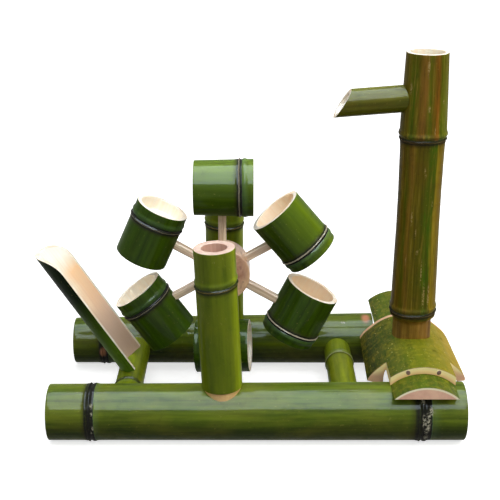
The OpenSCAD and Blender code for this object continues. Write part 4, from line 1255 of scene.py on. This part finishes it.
class FOUNTAIN_OT_spout(Operator):
    """Spout: a thin tube cut on the slant, its lower side longer."""

    bl_idname = "fountain.spout"
    bl_label = "Spout"

    def execute(self, context):
        slant = math.tan(math.radians(90 - SPOUT_MOUTH))
        scar = ((62.0, 118.0, 1.6, 0.9, 0.35),)
        girth = ([0, SPOUT_REACH], [SPOUT_R, SPOUT_R])
        profile = Profile().go(SPOUT_INSIDE, SPOUT_BORE, CUT).go(SPOUT_INSIDE, SPOUT_R, CUT)
        profile.skin(SPOUT_INSIDE + 0.5, SPOUT_REACH, girth, (), scar, coarse=3.0)
        profile.go(SPOUT_REACH, SPOUT_BORE, CUT, 1.0).go(SPOUT_INSIDE + 0.5, SPOUT_BORE, BORE, 4)

        def slanted(distance, radius, angle):
            """Slanted mouth: the further along, the more a point is moved by its depth under the axis."""
            share = np.clip((distance - SPOUT_INSIDE) / (SPOUT_REACH - SPOUT_INSIDE), 0, 1)
            return distance - radius * np.cos(angle) * slant * share, radius

        culm_piece(
            "spout_culm", ["spout"], skinned("spout"), (COLUMN_X, WHEEL_Y, SPOUT_Z),
            along_spout(), (0, 0, 1), profile, seed=81, scars=scar, wrap_rows=True, bend=slanted,
        )
        return {"FINISHED"}


def saddle_grain(points):
    """Place in the saddle's own culm: across from its axis, and along the slat."""
    return np.stack([points[:, 0] - COLUMN_X, points[:, 2] - SADDLE_Z, points[:, 1]], -1)


def dress_shell():
    """Shell: a half-round grid of rows along y and a share of the arc across, x = r * sin a and
    z = r * cos a, where a reaches the tab's edge at 0.6 of the share and the shell's edge at 1.
    Low down the outside splays and the inside thickens, more so on the left."""
    tab_share = 0.6
    shaved_from = SHELL_REAR - SHELL_BAND
    share = np.concatenate([
        evenly(-1, -tab_share, 0.04), evenly(-tab_share, tab_share, 0.03)[1:], evenly(tab_share, 1, 0.04)[1:],
    ])
    rows = np.concatenate([
        evenly(SHELL_FRONT, NOTCH_Y, 2.5), evenly(NOTCH_Y, shaved_from, 2.5)[1:],
        evenly(shaved_from + 0.5, SHELL_REAR, 1.5),
    ])
    y = np.repeat(rows[:, None], len(share), 1)
    behind_notch = y >= NOTCH_Y - 0.01
    far = abs(share)[None]

    def arc(r):
        """Angle of each point from the top, and how low it is on the flank, from 0 to 1."""
        edge, tab = np.arccos((SHELL_EDGE_Z - SADDLE_Z) / r), np.arcsin(TAB_HALF / r)
        past_tab = tab + (far - tab_share) / (1 - tab_share) * (edge - tab)
        a = np.sign(share) * np.where(far <= tab_share, far / tab_share * tab, past_tab)
        low = np.clip((abs(a) - 0.72) / 0.4, 0, 1)
        return a, low * low * (3 - 2 * low)

    def grid(r, a):
        z = SADDLE_Z + r * np.cos(a)
        z = np.where(behind_notch, z, np.maximum(z, SLAT_Z + 0.1))
        return np.stack([COLUMN_X + r * np.sin(a), y, z], -1)

    outer_r = np.interp(y, [SHELL_FRONT, SHELL_REAR], [SHELL_R, SHELL_R_REAR])
    a, low = arc(outer_r)
    outer_r = (outer_r + FLANK_SPLAY * low * behind_notch) * (0.997 + 0.003 * np.sin(3 * a + y / 70))
    outer = grid(outer_r - BAND_DEPTH * (y > shaved_from) * np.cos(a), a)
    inner_r = np.full(y.shape, SHELL_R - SHELL_WALL)
    a, low = arc(inner_r)
    inner = grid(inner_r - np.where(a < 0, LEFT_FLANK, RIGHT_FLANK) * low, a)

    middle_share = (share[:-1] + share[1:]) / 2
    middle_rows = ((rows[:-1] + rows[1:]) / 2)[:, None]
    keep = ~((abs(middle_share)[None] > tab_share) & (middle_rows < NOTCH_Y))
    shaved = np.repeat(middle_rows > shaved_from, len(middle_share), 1)
    shell = plate_piece(
        "saddle_shell_skin", ["saddle_shell"], skinned("saddle", "saddle_cut", "bore", "band"),
        outer, inner, keep, shaved, saddle_grain, SHELL_WALL, {"turned": saddle_grain},
    )
    soften(shell, 0.0006)


def dress_slat():
    """Slat: a section of an arc over a flat, carried along y and closed at both ends by smaller rings."""
    r = SHELL_R - SHELL_WALL - SLAT_ROOM
    half = math.acos((SLAT_Z - SADDLE_Z) / r)
    arc = evenly(-half, half, 0.03)
    flat = evenly(r * math.sin(half), -r * math.sin(half), 3.0)[1:-1]
    section = np.concatenate([
        np.stack([np.sin(arc), np.cos(arc)], -1) * r + [0, SADDLE_Z],
        np.stack([flat, np.full(len(flat), SLAT_Z)], -1),
    ])
    closing = np.array([0.0, 0.5, 0.75, 0.88, 0.95])
    caps = len(closing)
    rows = np.concatenate([[SLAT_FRONT] * caps, evenly(SLAT_FRONT, SLAT_TAIL, 4.0), [SLAT_TAIL] * caps])
    shrink = np.ones(len(rows))
    shrink[:caps], shrink[-caps:] = closing, closing[::-1]
    heart = np.array([0.0, 74.5])
    across, up = np.moveaxis(heart + (section - heart) * shrink[:, None, None], -1, 0)
    points = np.stack([COLUMN_X + across, np.repeat(rows[:, None], len(section), 1), up], -1).reshape(-1, 3)
    index = np.arange(len(points)).reshape(len(rows), len(section))
    index[0], index[-1] = index[0, 0], index[-1, 0]
    kinds = np.repeat([[SKIN] * (len(arc) - 1) + [BORE] * (len(flat) + 1)], len(rows) - 1, 0)
    kinds[:caps], kinds[-caps:] = CUT, CUT
    slat = make_piece(
        "saddle_slat_bearer", points, tube_faces(index).reshape(-1, 4), kinds.reshape(-1),
        skinned("slat", "face"), "frame", ["saddle_slat"], {
            "grain": saddle_grain(points) * MM + 5.0,
            "turned": saddle_grain(points),
            "under_skin": r - np.hypot(points[:, 0] - COLUMN_X, points[:, 2] - SADDLE_Z),
        },
    )
    soften(slat, 0.0005)


def dress_pegs():
    """Two slanted pegs in the shell's front edge, and two upright ones through the slat."""
    m = finishes()
    slope, middle_r = math.radians(PEG_SLOPE), SHELL_R - SHELL_WALL / 2
    for side, name in ((-1, "saddle_peg_left"), (1, "saddle_peg_right")):
        turn = math.radians(PEG_TURN * side)
        foot = (COLUMN_X + middle_r * math.sin(turn), SHELL_FRONT, SADDLE_Z + middle_r * math.cos(turn))
        along = (-math.sin(slope) * math.sin(turn), math.cos(slope), -math.sin(slope) * math.cos(turn))
        u, v, w = basis(along, (0, 0, 1))

        def flush(distance, radius, angle, u=u, v=v, w=w):
            """Slanted front end: the distance at which a point stands just proud of the shell's edge."""
            out = (np.cos(angle) * u[1] + np.sin(angle) * v[1]) * radius
            return np.where(distance < 1, (-0.35 - out) / w[1] + distance, distance), radius

        profile = Profile().go(0, 0, CUT).go(0, PEG_R - 0.4, CUT, 0.6).go(0.3, PEG_R, CUT)
        profile.go(PEG_LENGTH, PEG_R, CUT, 4).go(PEG_LENGTH, 0, CUT)
        culm_piece(
            name, ["saddle_pegs"], [m["peg"]] * 3, foot, along, (0, 0, 1), profile,
            seed=91 + side, bend=flush, around=32,
        )
    for y, name in ((SLAT_PEG_FRONT_Y, "slat_peg_front"), (RAIL_SPACING, "slat_peg_rear")):
        profile = Profile().go(SLAT_PEG_FROM, 0, CUT).go(SLAT_PEG_FROM, SLAT_PEG_R, CUT)
        profile.go(SLAT_CROWN - 0.1, SLAT_PEG_R, CUT, 4).go(SLAT_CROWN + 0.25, SLAT_PEG_R - 0.4, CUT)
        profile.go(SLAT_CROWN + 0.4, SLAT_PEG_R / 2, CUT).go(SLAT_CROWN + 0.45, 0, CUT)
        culm_piece(
            name, ["slat_pegs"], [m["turned"]] * 3, (COLUMN_X, y, 0), (0, 0, 1), (1, 0, 0),
            profile, seed=95, around=48,
        )


class FOUNTAIN_OT_saddle(Operator):
    """Half-round shell with notched front corners, the bearer under it, and the pegs that hold them."""

    bl_idname = "fountain.saddle"
    bl_label = "Saddle"

    def execute(self, context):
        dress_shell()
        dress_slat()
        dress_pegs()
        return {"FINISHED"}


class FOUNTAIN_OT_chute(Operator):
    """Split culm on the left cross bar: straight rims that curve into a tongue, and a foot coped round
    the bar."""

    bl_idname = "fountain.chute"
    bl_label = "Chute"

    def execute(self, context):
        lean = math.radians(180 - CHUTE_LEAN)
        share = np.sin(np.linspace(-math.pi / 2, math.pi / 2, 97))
        up = np.concatenate([evenly(0, 0.7, 0.02), evenly(0.7, 1, 0.008)[1:]])

        def grid(radius):
            """Half a culm: its angle runs between the two rims, and each line along it starts at the
            coped foot, a circle round the bar, and stops at the tongue, a circle seen from the side."""
            turn = share * math.acos(CHUTE_SPLIT / radius)
            y, across = radius * np.cos(turn) - CHUTE_OFFSET, radius * np.sin(turn)
            start = np.maximum(CHUTE_START, np.sqrt(np.maximum(CHUTE_BAR_ROOM**2 - y**2, 0)))
            drop = CHUTE_TONGUE + CHUTE_SPLIT - CHUTE_OFFSET - y
            stop = CHUTE_RIM + np.sqrt(np.maximum(CHUTE_TONGUE**2 - drop**2, 0))
            x = start + up[:, None] * (stop - start)
            return np.stack([
                CHUTE_X + x * math.cos(lean) - y * math.sin(lean),
                np.broadcast_to(WHEEL_Y - across, x.shape),
                BAR_Z + x * math.sin(lean) + y * math.cos(lean),
            ], -1)

        def in_plane(points):
            """Across the chute, towards its rims and up it, undoing its lean."""
            x, z = points[:, 0] - CHUTE_X, points[:, 2] - BAR_Z
            out, along = z * math.cos(lean) - x * math.sin(lean), x * math.cos(lean) + z * math.sin(lean)
            return np.stack([WHEEL_Y - points[:, 1], out, along], -1)

        cells = (len(up) - 1, len(share) - 1)
        chute = plate_piece(
            "chute_half_culm", ["chute"], skinned("chute", bore="inside"), grid(CHUTE_R),
            grid(CHUTE_R - CHUTE_WALL), np.ones(cells, bool), np.zeros(cells, bool), in_plane, CHUTE_WALL,
            {"up_chute": lambda points: in_plane(points)[:, 2] / 200.0},
        )
        soften(chute, 0.0005)
        return {"FINISHED"}


class FOUNTAIN_OT_water_way(Operator):
    """Finishes of the pieces inside: riser tube, elbow, inlet coupling and the chute's dowels."""

    bl_idname = "fountain.water_way"
    bl_label = "Water way"

    def execute(self, context):
        m = finishes()
        for node, finish in (
            ("riser_tube", "clear"), ("riser_elbow", "black"), ("inlet_coupling", "black"),
            ("chute_dowels", "dowel"),
        ):
            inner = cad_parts[node]
            inner.data.materials.clear()
            inner.data.materials.append(m[finish])
        return {"FINISHED"}


class FOUNTAIN_PT_pieces(Panel):
    """Lists the fountain's pieces, sizes and colours."""

    bl_idname = "FOUNTAIN_PT_pieces"
    bl_label = "Bamboo Fountain"
    bl_space_type = "VIEW_3D"
    bl_region_type = "UI"
    bl_category = "Fountain"

    def draw(self, context):
        for step in STEPS:
            self.layout.operator(step.bl_idname)
        for group in (context.scene.fountain_sizes, context.scene.fountain_colours):
            for key in group.__annotations__:
                self.layout.prop(group, key)


STEPS = [
    FOUNTAIN_OT_stage,
    FOUNTAIN_OT_rails,
    FOUNTAIN_OT_cross_bars,
    FOUNTAIN_OT_posts,
    FOUNTAIN_OT_hub,
    FOUNTAIN_OT_spokes,
    FOUNTAIN_OT_cups,
    FOUNTAIN_OT_column,
    FOUNTAIN_OT_spout,
    FOUNTAIN_OT_saddle,
    FOUNTAIN_OT_chute,
    FOUNTAIN_OT_water_way,
]
CLASSES = [FountainSizes, FountainColours, *STEPS, FOUNTAIN_PT_pieces]


def register():
    for each in CLASSES:
        bpy.utils.register_class(each)
    bpy.types.Scene.fountain_sizes = PointerProperty(type=FountainSizes)
    bpy.types.Scene.fountain_colours = PointerProperty(type=FountainColours)


def unregister():
    del bpy.types.Scene.fountain_colours
    del bpy.types.Scene.fountain_sizes
    for each in reversed(CLASSES):
        bpy.utils.unregister_class(each)


def main():
    register()
    for step in STEPS:
        group, name = step.bl_idname.split(".")
        getattr(getattr(bpy.ops, group), name)()


if __name__ == "__main__":
    main()
